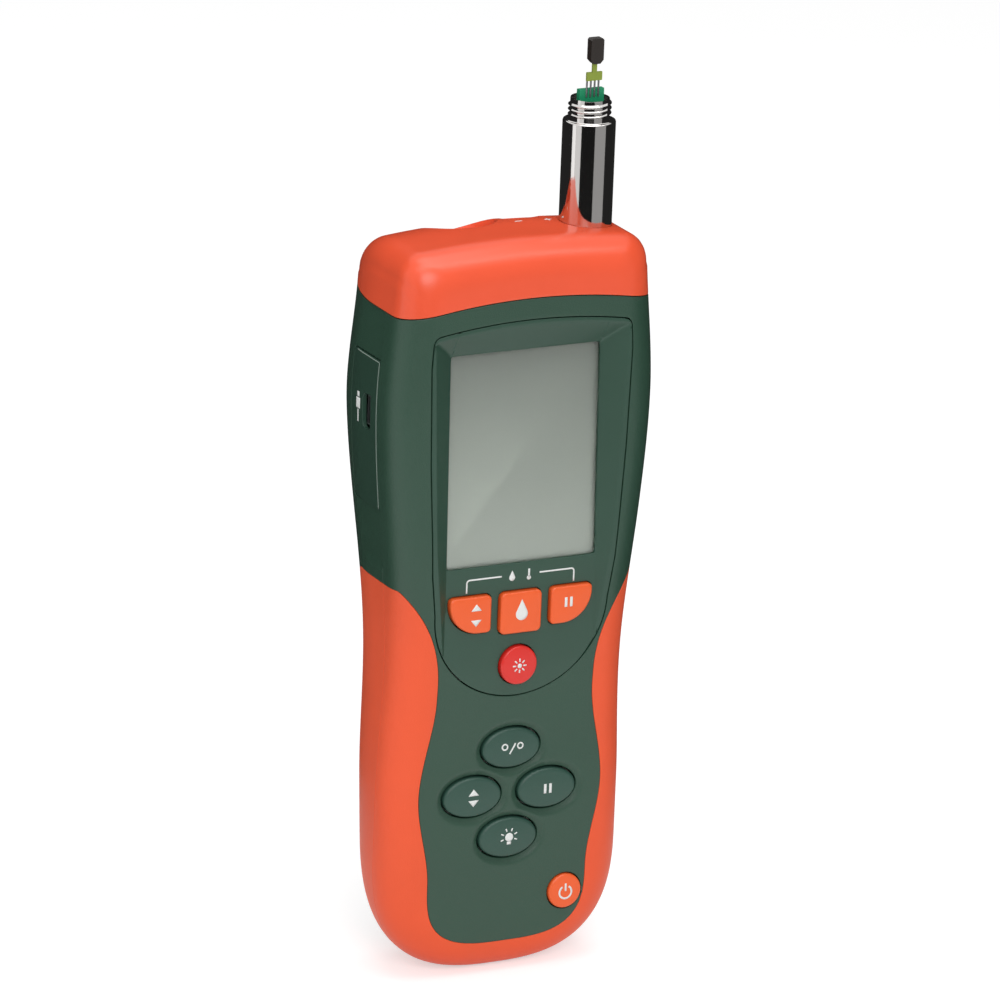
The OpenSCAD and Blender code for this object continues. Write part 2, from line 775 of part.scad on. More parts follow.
// A flat sheet behind the leaning window opening
display_l = (lcd_top - lcd_low) / cos(display_lean);
module display_sheet(y0, y1, grow) {
    w = lcd_w + grow;
    on_display()
        plate(y0, y1)
            rounded(0.6)
                translate([-w, -grow])
                    square([2 * w, display_l + 2 * grow]);
}
module lcd_window() { color("#b9bfb8") placed() display_sheet(lip_t, lip_t + lens_t, 2.2); }
cell_y = lip_t + lens_t;
module lcd_cell() { color("#9aa29b") placed() display_sheet(cell_y, cell_y + cell_t, 1.9); }
module backlight_guide() {
    color("#eef2ee")
        placed()
            intersection() {
                display_sheet(cell_y + cell_t, 20, 1.6);
                block([-60, 0, 0], [60, board_y, 240]);
            }
}

module main_board() {
    color("#1e6b3f")
        placed()
            difference() {
                plate(board_y, board_y + board_t)
                    difference() {
                        offset(delta = -wall - grip_t - 1.2) polygon(outline);
                        translate([-60, seam_z - 5]) square([120, 60]);
                        translate([13, flange_z - 5]) square([60, 60]);
                        for (s = screw_places) translate([s[0], s[1]]) circle(5, $fn = 32);
                        for (m = [0, 1])
                            mirror([m, 0])
                                translate([screw_places[1][0], screw_places[1][1] - 5]) square([20, 10]);
                    }
                for (b = board_places) along_depth(b[0], 0, b[1]) cylinder(h = 40, r = 1.1, $fn = 24);
            }
}

module board_chips() {
    color("#222428")
        placed() {
            for (z = [100, 114, 128]) block([-9, board_y + board_t, z], [1, board_y + board_t + 1.6, z + 9]);
            block([6, board_y + board_t, 142], [20, board_y + board_t + 2, 154]);
        }
}

module buzzer() {
    color("#2a2a2c")
        placed()
            along_depth(15, board_y + board_t, 118)
                difference() {
                    cylinder(h = 4.5, r = 6, $fn = 48);
                    translate([0, 0, 3.5])
                        cylinder(h = 2, r = 1, $fn = 24);
                }
}

module keypad_mat() {
    color("#c9ccc8")
        placed() {
            plate(board_y - mat_t, board_y)
                difference() {
                    translate([-21, power_z - power_r - 2.5])
                        square([42, row_top + 1 - (power_z - power_r - 2.5)]);
                    for (s = screw_places) translate([s[0], s[1]]) circle(4, $fn = 32);
                }
            plate(board_y - mat_t - pad_t, board_y - mat_t) {
                offset(delta = -1.6) square_key_shape();
                for (side = [-1, 1]) offset(delta = -1.6) side_key_shape(side);
                translate([0, laser_key_z]) circle(laser_key_r - 1.6, $fn = 32);
                translate([power_x, power_z]) circle(power_r - 1.6, $fn = 32);
                for (k = cross_keys) translate(k) oval_shape(-1.6);
            }
        }
}

module port_panel() {
    color("#23453a")
        placed()
            difference() {
                intersection() {
                    outer_skin();
                    plate(parting, panel_end) side_band(panel_low, panel_high, panel_t);
                }
                block([-60, slot_y - slot_t / 2, slot_z - slot_l / 2], [slot_end, slot_y + slot_t / 2, slot_z + slot_l / 2]);
            }
}

port_board_y = slot_y + 1.95;
module usb_socket() {
    low = [socket_x, slot_y - 1.95, slot_z - 3.85];
    color("#c8cacc")
        placed()
            difference() {
                block(low, low + [8, 3.9, 7.7]);
                difference() {
                    block(low + [-1, 0.4, 0.4], low + [7, 3.5, 7.3]);
                    block(low + [1, 1.5, 1.6], low + [8, 2.4, 6.1]);
                }
            }
}
module port_board() {
    color("#1e6b3f")
        placed()
            block([socket_x + 2.2, port_board_y, slot_z - 7], [socket_x + 16.2, port_board_y + board_t, slot_z + 4.4]);
}
module board_header() {
    color("#1c1c1e")
        placed()
            block([socket_x + 11.2, board_y + board_t, slot_z - 5], [socket_x + 15.2, port_board_y, slot_z + 4]);
}

module probe_tube() {
    color("#c9ccd0")
        placed()
            translate([probe_x, probe_y, 0])
                rotate_extrude($fn = 96)
                    polygon([
                        [tube_bore_r, flange_z], [tube_r + 1.5, flange_z], [tube_r + 1.5, flange_z + 2.5], [tube_r, flange_z + 2.5],
                        [tube_r, shoulder_z - 0.3], [tube_r - 0.3, shoulder_z], [neck_r - 0.5, shoulder_z],
                        [neck_r - 0.5, shoulder_z + 0.6], [neck_r, shoulder_z + 0.6],
                        [neck_r, shoulder_z + neck_h - 0.3], [neck_r - 0.3, shoulder_z + neck_h],
                        [tube_bore_r, shoulder_z + neck_h]]);
}
sensor_board_top = tip_z - 13.7;
module sensor_holder() {
    color("#26282a")
        placed()
            difference() {
                translate([probe_x, probe_y, shoulder_z - 23])
                    cylinder(h = 25.5, r = tube_bore_r - 0.02, $fn = 64);
                sensor_board_block(0.03);
            }
}
module sensor_board_block(gap) {
    block(
        [probe_x - 3.5 - gap, probe_y - 0.8 - gap, shoulder_z - 24],
        [probe_x + 3.5 + gap, probe_y + 0.8 + gap, sensor_board_top]);
}
module sensor_board() { color("#1f9a68") placed() sensor_board_block(0); }
pin_y = probe_y - 0.8 - 0.25;
module sensor_leads() {
    color("#c7c9c8")
        placed()
            for (i = [0 : 3])
                translate([probe_x + (i - 1.5) * 1.1, pin_y, sensor_board_top - 2])
                    cylinder(h = 5, r = 0.25, $fn = 24);
}
module sensor_carrier() {
    front = pin_y - 0.25 - 0.7;
    color("#7f9a3a")
        placed()
            plate(front, front + 0.7)
                translate([probe_x, 0]) {
                    translate([-2.15, tip_z - 11.2]) square([4.3, 2.2]);
                    translate([-0.6, tip_z - 9.2]) square([1.2, 4]);
                }
}
module sensor_head() {
    front = pin_y - 0.25 - 1.8;
    color("#2a2624")
        placed()
            difference() {
                plate(front, front + 2.3)
                    translate([probe_x, tip_z])
                        polygon([[-1.8, -5.6], [-0.9, -6.6], [0.9, -6.6], [1.8, -5.6], [1.8, -0.4],
                            [1.4, 0], [-1.4, 0], [-1.8, -0.4]]);
                block([probe_x - 0.6, front + 1.1, tip_z - 10], [probe_x + 0.6, front + 1.8, tip_z - 5.2]);
            }
}

module ir_lens() {
    color("#3a3240")
        placed()
            translate([lens_x, ir_y, scoop_z - 1.8])
                cylinder(h = 1.4, r = 4.05, $fn = 48);
}
module ir_sensor() {
    color("#4a4c50")
        placed()
            translate([lens_x, ir_y, scoop_z - 15])
                difference() {
                    cylinder(h = 12, r = 4.8, $fn = 48);
                    translate([0, 0, 4])
                        cylinder(h = 9, r = 3.4, $fn = 48);
                }
}
module laser_module() {
    color("#b08d4a")
        placed()
            translate([laser_x, ir_y, scoop_z - 15])
                difference() {
                    cylinder(h = 12, r = 2.1, $fn = 32);
                    translate([0, 0, 9])
                        cylinder(h = 4, r = 0.9, $fn = 24);
                }
}
module thermocouple_socket() {
    color("#d9b23a")
        placed()
            difference() {
                union() {
                    block(couple_low, couple_high);
                    block(couple_low - [1, 1, 0], [couple_high[0] + 1, couple_high[1] + 1, couple_low[2] + 2]);
                }
                for (x = couple_slots)
                    block([x - 1.3, couple_y - 0.5, 0], [x + 1.3, couple_y + 0.5, body_h + 5]);
            }
}
module thermocouple_contacts() {
    color("#cdb87a")
        placed()
            for (x = couple_slots)
                block([x - 1.2, couple_y - 0.45, couple_low[2] - 5], [x + 1.2, couple_y + 0.45, couple_low[2] + 3]);
}

module tilt_stand() {
    color("#1f3b32")
        placed()
            on_back(hinge_z)
                difference() {
                    union() {
                        block([-stand_w / 2, -stand_t, -stand_l], [stand_w / 2, 0, 0]);
                        translate([-stand_w / 2, -stand_t / 2, 0])
                            rotate([0, 90, 0])
                                cylinder(h = stand_w, r = stand_t / 2, $fn = 48);
                    }
                    translate([-stand_w, -stand_t / 2, 0])
                        rotate([0, 90, 0])
                            cylinder(h = 2 * stand_w, r = pin_r + pin_gap, $fn = 32);
                    plate(-1.2, 1)
                        rounded(2)
                            translate([-stand_w / 2 + 4, -stand_l + 5])
                                square([stand_w - 8, stand_l - 12]);
                }
}
module stand_pin() {
    color("#b9bcc0")
        placed()
            on_back(hinge_z)
                translate([-stand_w / 2 - 4, -stand_t / 2, 0])
                    rotate([0, 90, 0])
                        cylinder(h = stand_w + 8, r = pin_r, $fn = 32);
}
module battery_door() {
    color("#1f3b32")
        placed()
            difference() {
                on_back((door_low + door_top) / 2)
                    plate(-door_t, 0)
                        rounded(3)
                            square([door_w, door_top - door_low], center = true);
                on_back(door_screw_z)
                    rotate([90, 0, 0])
                        translate([0, 0, -1]) {
                            cylinder(h = 10, r = 1.4, $fn = 32);
                            cylinder(h = 2.2, r = 2.6, $fn = 32);
                        }
            }
}
module battery_door_screw() {
    color("#8d9094")
        placed()
            on_back(door_screw_z)
                rotate([90, 0, 0]) {
                    translate([0, 0, 0.2])
                        cylinder(h = 1, r = 2.4, $fn = 32);
                    translate([0, 0, 1.2])
                        cylinder(h = 8, r = 1, $fn = 24);
                }
}
module battery() {
    color("#3a3c40")
        placed() {
            translate([0, battery_y, bay_low + 0.3])
                linear_extrude(46.4)
                    rounded(2)
                        square([26.5, battery_t], center = true);
            for (x = [-6.3, 6.3])
                translate([x, battery_y, bay_low + 46.7])
                    cylinder(h = 2, r = x < 0 ? 3 : 3.8, $fn = 32);
        }
}
module battery_clip() {
    color("#1c1c1e")
        placed()
            difference() {
                translate([-12.5, battery_y - 6, bay_low + 46.75])
                    cube([25, 12, 2.4]);
                for (x = [-6.3, 6.3])
                    translate([x, battery_y, bay_low + 46])
                        cylinder(h = 5, r = x < 0 ? 3.1 : 3.9, $fn = 32);
            }
}
module tripod_insert() {
    color("#b08d4a")
        placed()
            on_back(tripod_z)
                rotate([90, 0, 0])
                    difference() {
                        translate([0, 0, 0.3])
                            cylinder(h = tripod_l + 2, r = 5, $fn = 48);
                        cylinder(h = 0.3 + tripod_l, r = tripod_r, $fn = 48);
                    }
}
module housing_screws() {
    color("#8d9094")
        placed()
            for (s = screw_places) {
                along_depth(s[0], s[2], s[1]) cylinder(h = 2, r = 2.7, $fn = 32);
                along_depth(s[0], 8.5, s[1]) cylinder(h = s[2] - 8.5, r = 1.2, $fn = 24);
            }
}
module board_screws() {
    color("#8d9094")
        placed()
            for (b = board_places) {
                along_depth(b[0], board_y + board_t, b[1]) cylinder(h = 1.2, r = 2, $fn = 24);
                along_depth(b[0], 7, b[1]) cylinder(h = board_y + board_t - 7, r = 0.85, $fn = 24);
            }
}

// Keys
key_face = dish_low - key_proud;
key_orange = "#f06a33";
key_green = "#2f5347";
module probe_max_button() { color(key_orange) placed() moulded_key(key_face, bezel_back) side_key_shape(-1); }
module wet_bulb_button() { color(key_orange) placed() moulded_key(key_face, bezel_back) square_key_shape(); }
module probe_hold_button() { color(key_orange) placed() moulded_key(key_face, bezel_back) side_key_shape(1); }
module laser_button() { color("#e8352c") placed() round_key(0, laser_key_z, laser_key_r, key_face, bezel_back); }
module oval_key(i) {
    color(key_green)
        placed()
            moulded_key(front_y(cross_keys[i][1]) - 0.6, panel_back)
                translate(cross_keys[i])
                    oval_shape(0);
}
module unit_button() { oval_key(0); }
module max_button() { oval_key(1); }
module hold_button() { oval_key(2); }
module backlight_button() { oval_key(3); }
module power_button() {
    color(key_orange)
        placed()
            round_key(power_x, power_z, power_r, front_y(power_z) - 1, panel_back);
}

front_housing();
rear_housing();
top_cap();
front_grip();
rear_grip();
bezel_plate();
lcd_window();
lcd_cell();
backlight_guide();
main_board();
board_chips();
buzzer();
keypad_mat();
port_panel();
usb_socket();
port_board();
board_header();
probe_tube();
sensor_holder();
sensor_board();
sensor_leads();
sensor_carrier();
sensor_head();
ir_lens();
ir_sensor();
laser_module();
thermocouple_socket();
thermocouple_contacts();
tilt_stand();
stand_pin();
battery_door();
battery_door_screw();
battery();
battery_clip();
tripod_insert();
housing_screws();
board_screws();
probe_max_button();
wet_bulb_button();
probe_hold_button();
laser_button();
unit_button();
max_button();
hold_button();
backlight_button();
power_button();
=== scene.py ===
import json
import math

import bmesh
import bpy
import numpy as np
from mathutils import Matrix, Vector
from mathutils.bvhtree import BVHTree

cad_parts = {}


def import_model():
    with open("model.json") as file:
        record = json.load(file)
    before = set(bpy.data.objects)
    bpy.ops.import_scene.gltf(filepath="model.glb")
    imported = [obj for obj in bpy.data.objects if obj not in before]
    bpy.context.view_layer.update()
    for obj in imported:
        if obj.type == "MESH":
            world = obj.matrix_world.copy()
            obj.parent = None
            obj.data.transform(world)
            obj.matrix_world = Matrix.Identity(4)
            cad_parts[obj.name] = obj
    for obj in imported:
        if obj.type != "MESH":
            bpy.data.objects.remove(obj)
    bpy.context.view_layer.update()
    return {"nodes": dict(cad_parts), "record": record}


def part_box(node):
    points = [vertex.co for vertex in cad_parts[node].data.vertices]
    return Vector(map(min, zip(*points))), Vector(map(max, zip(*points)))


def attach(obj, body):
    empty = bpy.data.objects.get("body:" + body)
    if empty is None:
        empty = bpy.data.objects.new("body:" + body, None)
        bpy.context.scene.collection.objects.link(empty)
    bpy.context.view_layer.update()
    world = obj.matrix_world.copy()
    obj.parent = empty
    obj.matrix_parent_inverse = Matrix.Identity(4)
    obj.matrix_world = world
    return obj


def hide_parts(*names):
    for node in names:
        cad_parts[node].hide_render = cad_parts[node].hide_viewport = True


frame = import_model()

# Lengths are in millimetres, and in metres in the studio. Depth is counted from the front plane of
# the head to the back, and a point is (to the right, depth, height), as in the solids.
MM = 0.001
FRONT_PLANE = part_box("front_housing")[0].y / MM

# Body
BODY_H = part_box("top_cap")[1].z / MM
HEAD_W = 75.06
HEAD_Z = 155.5
WAIST_W = 66.2
WAIST_Z = 86
GRIP_W = 68.8
GRIP_Z = 48
TOP_W = 69.5
END_H = 34
END_POWER = 2.75
CORNER_R = 7
ROOF_R = 274
FRONT_DROP = 3.6
DROP_TOP = 124
DROP_LOW = 58
BACK_LOW = 29.6
BACK_TOP = 46.06
FRONT_R = 8.9
BACK_RUN = 10.4
ROOF_RUN = 18
BACK_ROUND = 18.6
ROOF_ROUND = 26.4
FOOT_RUN = 20.6
FOOT_ROUND = 19.2
MIDDLE_Z = 150
MIDDLE_BLEND = 40
FOOT_Z = 40
FOOT_BLEND = 34
FRONT_SPINE = (34, 166)
BACK_SPINE = (42, 160)
SKIN_MERGE = 0.02

# Shells and grips
PARTING = 12.4
PARTING_GAP = 0.04
SEAM_Z = 183.7
SEAM_R = 172
GRIP_TOP = 107.6
SIDE_RECESS = 0.4
SIDE_RECESS_Z = 111.6
SEAM_GAP = 0.1
GRIP_GAP = 0.04
GRIP_WALL = 1.6
FINE_EDGE = 0.12
INLAY_WAIST_W = 22.3
INLAY_WAIST_Z = 80.5
INLAY_WIDE_W = 26.2
INLAY_WIDE_Z = 50.5
INLAY_FOOT_W = 22.8
INLAY_FOOT_Z = 27
INLAY_LOW = 8.7
INLAY_POWER = 3.2
INLAY_SWEEP = 2.2

# Display and its bezel
BEZEL_W = 28.3
BEZEL_TOP = 175.7
BEZEL_WIDE_Z = BEZEL_TOP - 8
BEZEL_ROOF_R = 160
BEZEL_ROOF_W = BEZEL_W - 0.5
BEZEL_ROOF_Z = BEZEL_TOP - 0.2
BEZEL_END_R = 24.5
BEZEL_END_Z = 101.1
BEZEL_MID_W = 25.9
BEZEL_MID_Z = 112
BEZEL_HIGH_W = BEZEL_W - 0.7
BEZEL_HIGH_Z = BEZEL_MID_Z + 30
BEZEL_BACK = 6
BEZEL_CORNER_R = 2.2
BEZEL_EDGE = 0.15
DISH_TOP = 4.3
DISH_LOW = 2.4
GROOVE = 0.3
CREASE = 0.3
LCD_W = 21.2
LCD_LOW = 112.6
LCD_TOP = 169.1
LCD_CORNER_R = 0.8
SIDE_RIM = 0.9
TOP_RIM = 1

# Keys
KEY_GAP = 0.3
OVAL_GAP = 0.45
KEY_PROUD = 1.6
KEY_SKIRT = 5
SQUARE_W = 11.7
SQUARE_R = 1.4
ROW_LOW = 93.9
ROW_TOP = 105.1
SIDE_KEY_IN = 8.5
SIDE_KEY_OUT = 20.3
SIDE_KEY_R = 8.4
SIDE_KEY_DROP = 1.6
SIDE_KEY_CORNER_R = 1.2
LASER_KEY_R = 5.2
LASER_KEY_Z = 85.1
OVAL_A = 8.3
OVAL_B = 5.4
OVAL_PROUD = 0.6
OVAL_DISH = 0.8
OVAL_DISH_W = 1.9
OVAL_DISH_REACH = 3.4
CROSS_Z = 49.5
CROSS_X = 10.7
CROSS_REACH = 12.3
POWER_R = 4.7
POWER_X = 16.9
POWER_Z = 20.3
POWER_PROUD = 1

# Probe and the openings of the cap
PROBE_X = 22.9
PROBE_Y = 18.7
TUBE_R = 6.83
TUBE_BORE_R = 5
TUBE_GAP = 0.15
TUBE_DEEP = 12
SHOULDER_Z = 223.9
NECK_R = 5.6
NECK_H = 5.7
THREAD_PITCH = 1.3
SCOOP_X = -7.8
SCOOP_Y = 30.4
SCOOP_Z = BODY_H - 9.2
SCOOP_FLOOR_R = 7
SCOOP_FLARE = 0.36
SCOOP_RIM = 0.5
SCOOP_RINGS = (6.2, 4.6, 3, 1.5, 0.001)
LENS_R = 4.1
LASER_R = 1.2
LENS_X = SCOOP_X - 2.2
LASER_X = SCOOP_X + 5
COUPLE_LOW = (3.6, 26)
COUPLE_HIGH = (15.2, 33)
COUPLE_GAP = 0.2
COUPLE_CORNER_R = 0.4

# Side panel
PANEL_LOW = 127.4
PANEL_HIGH = 167
PANEL_END = 28.1
PANEL_GAP = 0.2
PANEL_FRONT = PARTING + 0.12
PANEL_LEFT_OF = -20
PANEL_WALL = 0.95
PANEL_EDGE = 0.15
SLOT_Y = 18.6
SLOT_Z = 152.2
SLOT_L = 9.4
SLOT_T = 4.35
SLOT_CORNER_R = 1.1

# Back
STAND_W = 38
STAND_L = 44
STAND_T = 3.4
STAND_GAP = 0.3
STAND_UNDER = 0.35
STAND_CORNER_R = 0.6
HINGE_Z = 145
NICK_R = 9
NICK_BURIED = 5.6
NICK_REACH = 8.5
DOOR_W = 33
DOOR_LOW = 37.5
DOOR_TOP = 97.5
DOOR_T = 2
DOOR_UNDER = 0.05
DOOR_CORNER_R = 3
TRIPOD_Z = 163
INSERT_R = 5
INSERT_GAP = 0.02
FIT_GAP = 0.25
WELL_R = 3.1
WELL_EDGE = 0.35
WELL_WALL = 26
# Each screw well: its place to the right, its height, and the depth of its floor
WELLS = [(-28.5, 161.6, 24), (28.5, 161.6, 24), (-19, 29.6, 20), (19, 29.6, 20)]
LEAN = math.atan((BACK_TOP - BACK_LOW) / BODY_H)
BACK_OUT = Vector((0, math.cos(LEAN), -math.sin(LEAN)))

# Camera, solved from the meter's edges in the photograph
CAMERA_TURN = -27
CAMERA_DROP = 17.87
CAMERA_ROLL = 2.2
CAMERA_FOCAL = 280.94
CAMERA_PIVOT = (0, FRONT_PLANE + 1.1, 95.6)
CAMERA_PLACE = (-5.33, 32.5, 2000)


def ease(t):
    c = np.clip(t, 0, 1)
    return c * c * (3 - 2 * c)


def mix(a, b, t):
    return a + (b - a) * t


def half_w(z):
    """Half width of the body at a height."""
    head = mix(HEAD_W, TOP_W, ease((z - HEAD_Z) / (BODY_H - HEAD_Z)))
    waist = mix(WAIST_W, HEAD_W, ease((z - WAIST_Z) / (HEAD_Z - WAIST_Z)))
    grip = mix(GRIP_W, WAIST_W, ease((z - GRIP_Z) / (WAIST_Z - GRIP_Z)))
    return np.where(z > HEAD_Z, head, np.where(z > WAIST_Z, waist, grip)) / 2


def front_y(z):
    """Depth of the body's front at a height."""
    return FRONT_DROP * ease((DROP_TOP - z) / (DROP_TOP - DROP_LOW))


def back_y(z):
    return mix(BACK_LOW, BACK_TOP, z / BODY_H)


def round_at(z):
    """Depth of the rounded back edge at a height."""
    middle = mix(BACK_ROUND, ROOF_ROUND, ease((z - MIDDLE_Z) / MIDDLE_BLEND))
    wanted = mix(middle, FOOT_ROUND, ease((FOOT_Z - z) / FOOT_BLEND))
    return np.minimum(wanted, back_y(z) - front_y(z) - FRONT_R - 1)


def roof_z(x):
    return BODY_H - x * x / (2 * ROOF_R)


def body_outline(end_steps=44, side_steps=120, corner_steps=14, roof_steps=24):
    """Front outline of the body, once around from the bottom centre."""
    lean = math.asin((TOP_W / 2 - CORNER_R) / ROOF_R)
    corner_x = TOP_W / 2 - CORNER_R
    roof_x = corner_x + CORNER_R * math.sin(lean)
    corner_z = roof_z(roof_x) - CORNER_R * math.cos(lean)
    right = []
    for i in range(end_steps):
        a = math.pi / 2 * (1 - i / end_steps)
        z = END_H * (1 - math.sin(a) ** (2 / END_POWER))
        right.append((float(half_w(z)) * max(0, math.cos(a)) ** (2 / END_POWER), z))
    for i in range(side_steps):
        z = mix(END_H, corner_z, i / side_steps)
        right.append((float(half_w(z)), z))
    for i in range(corner_steps + 1):
        a = (math.pi / 2 - lean) * i / corner_steps
        right.append((corner_x + CORNER_R * math.cos(a), corner_z + CORNER_R * math.sin(a)))
    for i in range(1, roof_steps + 1):
        x = roof_x * (1 - i / roof_steps)
        right.append((x, roof_z(x)))
    left = [(-x, z) for x, z in right[-2:0:-1]]
    return np.array(right + left)


def face_edge(line, side, foot, roof):
    """Edge of the flat face that a rounded edge runs out into."""
    wide = half_w(line[:, 1])
    x = line[:, 0] * (wide - side) / wide
    z = foot + line[:, 1] * (BODY_H - foot - roof) / BODY_H
    return np.stack([x, z], 1)


def spine(edge, low, high):
    """The line on the middle of a flat face that its edge shrinks to."""
    return np.stack([edge[:, 0] * 0, np.clip(edge[:, 1], low, high)], 1)


def at_depth(line, depth):
    """A flat outline as points at one depth, or each at its own."""
    return np.stack([line[:, 0], line[:, 0] * 0 + depth, line[:, 1]], 1)


def body_rings(front_rows=26, front_arc=13, side_rows=8, back_arc=19, back_rows=24):
    """Rings of points over the body, from the middle of the front to the middle of the back."""
    line = body_outline()
    front_edge = face_edge(line, FRONT_R, FRONT_R, FRONT_R)
    back_edge = face_edge(line, BACK_RUN, FOOT_RUN, ROOF_RUN)
    front_spine = spine(front_edge, *FRONT_SPINE)
    back_spine = spine(back_edge, *BACK_SPINE)
    depth = round_at(line[:, 1])
    rings = []
    for t in np.linspace(0, 1, front_rows + 1)[:-1]:
        p = mix(front_spine, front_edge, t)
        rings.append(at_depth(p, front_y(p[:, 1])))
    for a in np.radians(np.linspace(90, 0, front_arc)):
        p = mix(line, front_edge, 1 - math.cos(a))
        rings.append(at_depth(p, front_y(p[:, 1]) + FRONT_R * (1 - math.sin(a))))
    side_front = front_y(line[:, 1]) + FRONT_R
    side_back = back_y(line[:, 1]) - depth
    for t in np.linspace(0, 1, side_rows + 1)[1:-1]:
        rings.append(at_depth(line, mix(side_front, side_back, t)))
    for a in np.radians(np.linspace(0, 90, back_arc)):
        p = mix(line, back_edge, 1 - math.cos(a))
        rings.append(at_depth(p, back_y(p[:, 1]) - depth * (1 - math.sin(a))))
    for t in np.linspace(1, 0, back_rows + 1)[1:]:
        p = mix(back_spine, back_edge, t)
        rings.append(at_depth(p, back_y(p[:, 1])))
    return np.array(rings)


def wrapped(rings, merge=0.004):
    """A closed surface over rings of points: a grid wrapped around them, with its seams merged."""
    rings = np.array(rings)
    count, around = rings.shape[:2]
    bm = bmesh.new()
    bmesh.ops.create_grid(bm, x_segments=around, y_segments=count - 1, size=1)
    for v in bm.verts:
        i = round((v.co.x + 1) / 2 * around) % around
        k = round((v.co.y + 1) / 2 * (count - 1))
        v.co = Vector(rings[k, i])
    bmesh.ops.remove_doubles(bm, verts=bm.verts, dist=merge)
    bmesh.ops.recalc_face_normals(bm, faces=bm.faces)
    return bm


def points_of(items):
    return np.array([v.co for v in items]).reshape(-1, 3)


def slope_of(rule, at):
    """Direction in which a rule grows."""
    step = 0.01
    parts = []
    for axis in range(3):
        move = np.zeros(3)
        move[axis] = step
        parts.append((rule(at + move) - rule(at - move)) / (2 * step))
    return np.stack(parts, 1)


def snap_onto(verts, rule):
    """Moves points along the surface onto the line where a rule is zero."""
    at = points_of(verts)
    slope = slope_of(rule, at)
    normal = np.array([v.normal for v in verts])
    slope -= normal * (slope * normal).sum(1)[:, None]
    size = np.maximum((slope ** 2).sum(1), 0.1)
    move = slope * (rule(at) / size)[:, None]
    for v, m in zip(verts, move):
        v.co -= Vector(m)


def split_on(crossed, mark, rule, rounds=12):
    """Splits edges where a rule changes its sign, and gives back the new points."""
    a = points_of([e.verts[0] for e in crossed])
    b = points_of([e.verts[1] for e in crossed])
    low = np.zeros(len(crossed))
    high = np.ones(len(crossed))
    sign = np.sign([mark[e.verts[0]] for e in crossed])
    for _ in range(rounds):
        middle = (low + high) / 2
        same = np.sign(rule(a + (b - a) * middle[:, None])) == sign
        low = np.where(same, middle, low)
        high = np.where(same, high, middle)
    return [bmesh.utils.edge_split(e, e.verts[0], float(t))[1] for e, t in zip(crossed, low)]


def score(bm, rule, snap=0.3):
    """Draws the line where a rule is zero onto the surface, as real edges."""
    bm.normal_update()
    verts = list(bm.verts)
    value = rule(points_of(verts))
    near = [v for v, a in zip(verts, value) if abs(a) < snap]
    if near:
        snap_onto(near, rule)
    mark = dict(zip(verts, value))
    for v in near:
        mark[v] = 0
    crossed = [e for e in bm.edges if mark[e.verts[0]] * mark[e.verts[1]] < 0]
    new = split_on(crossed, mark, rule) if crossed else []
    bmesh.ops.connect_verts(bm, verts=near + new)


def faces_where(bm, rule):
    """Faces whose middle lies where the rule is negative."""
    faces = list(bm.faces)
    value = rule(np.array([f.calc_center_median() for f in faces]).reshape(-1, 3))
    return [f for f, a in zip(faces, value) if a < 0]


def remove(bm, rule):
    """Takes away the surface where the rule is negative, with a clean edge."""
    score(bm, rule)
    bmesh.ops.delete(bm, geom=faces_where(bm, rule), context="FACES")


def keep(bm, rule):
    """Takes away all but the surface where the rule is negative."""
    remove(bm, lambda p: -rule(p))


def grown(bm, rim):
    """A new ring of surface on a rim: its edges, and each new point with the one it came from."""
    before = {tuple(v.co): v for e in rim for v in e.verts}
    made = bmesh.ops.extrude_edge_only(bm, edges=rim)["geom"]
    new = {g: before[tuple(g.co)] for g in made if isinstance(g, bmesh.types.BMVert)}
    edges = [g for g in made if isinstance(g, bmesh.types.BMEdge) and all(v in new for v in g.verts)]
    return edges, new


def rim_of(bm, rule, slack=0.1):
    """Open edges that lie on the line where a rule is zero."""
    edges = [e for e in bm.edges if e.is_boundary]
    ends = [np.abs(rule(points_of([e.verts[k] for e in edges]))) for k in (0, 1)]
    return [e for e, a, b in zip(edges, *ends) if max(a, b) < slack]


def cut(bm, rule, edge=0.2, wall=2, into=None, steps=3):
    """Takes away the surface where a rule is negative, and rolls the rim over into a wall."""
    def wider(p):
        return rule(p) - edge

    remove(bm, wider)
    rim = rim_of(bm, wider)
    verts = list(dict.fromkeys(v for e in rim for v in e.verts))
    normal = np.array([skin_surface.find_nearest(v.co)[1] for v in verts])
    way = slope_of(rule, points_of(verts))
    way -= normal * (way * normal).sum(1)[:, None]
    way /= np.maximum(np.sqrt((way ** 2).sum(1)), 1e-6)[:, None]
    down = -normal if into is None else np.tile(into, (len(verts), 1))
    rows = zip(verts, way, normal, down)
    start = {v: (v.co.copy(), Vector(w), Vector(n), Vector(d)) for v, w, n, d in rows}
    # The rim turns over in some steps, and its wall then goes down in two
    for k in range(1, steps + 3):
        a = math.pi / 2 * min(1, k / steps)
        deep = (0, wall * 0.4, wall)[max(0, k - steps)]
        rim, new = grown(bm, rim)
        start = {v: start[old] for v, old in new.items()}
        for v, (p, w, n, d) in start.items():
            v.co = p - w * edge * math.sin(a) - n * edge * (1 - math.cos(a)) + d * deep


def cut_keep(bm, rule, edge=0.2, wall=2):
    """Cuts away all but the surface where the rule is negative."""
    cut(bm, lambda p: -rule(p), edge, wall)


def join(bm, other):
    """Adds another surface to this one."""
    mesh = bpy.data.meshes.new("joined")
    other.to_mesh(mesh)
    other.free()
    bm.from_mesh(mesh)
    bpy.data.meshes.remove(mesh)


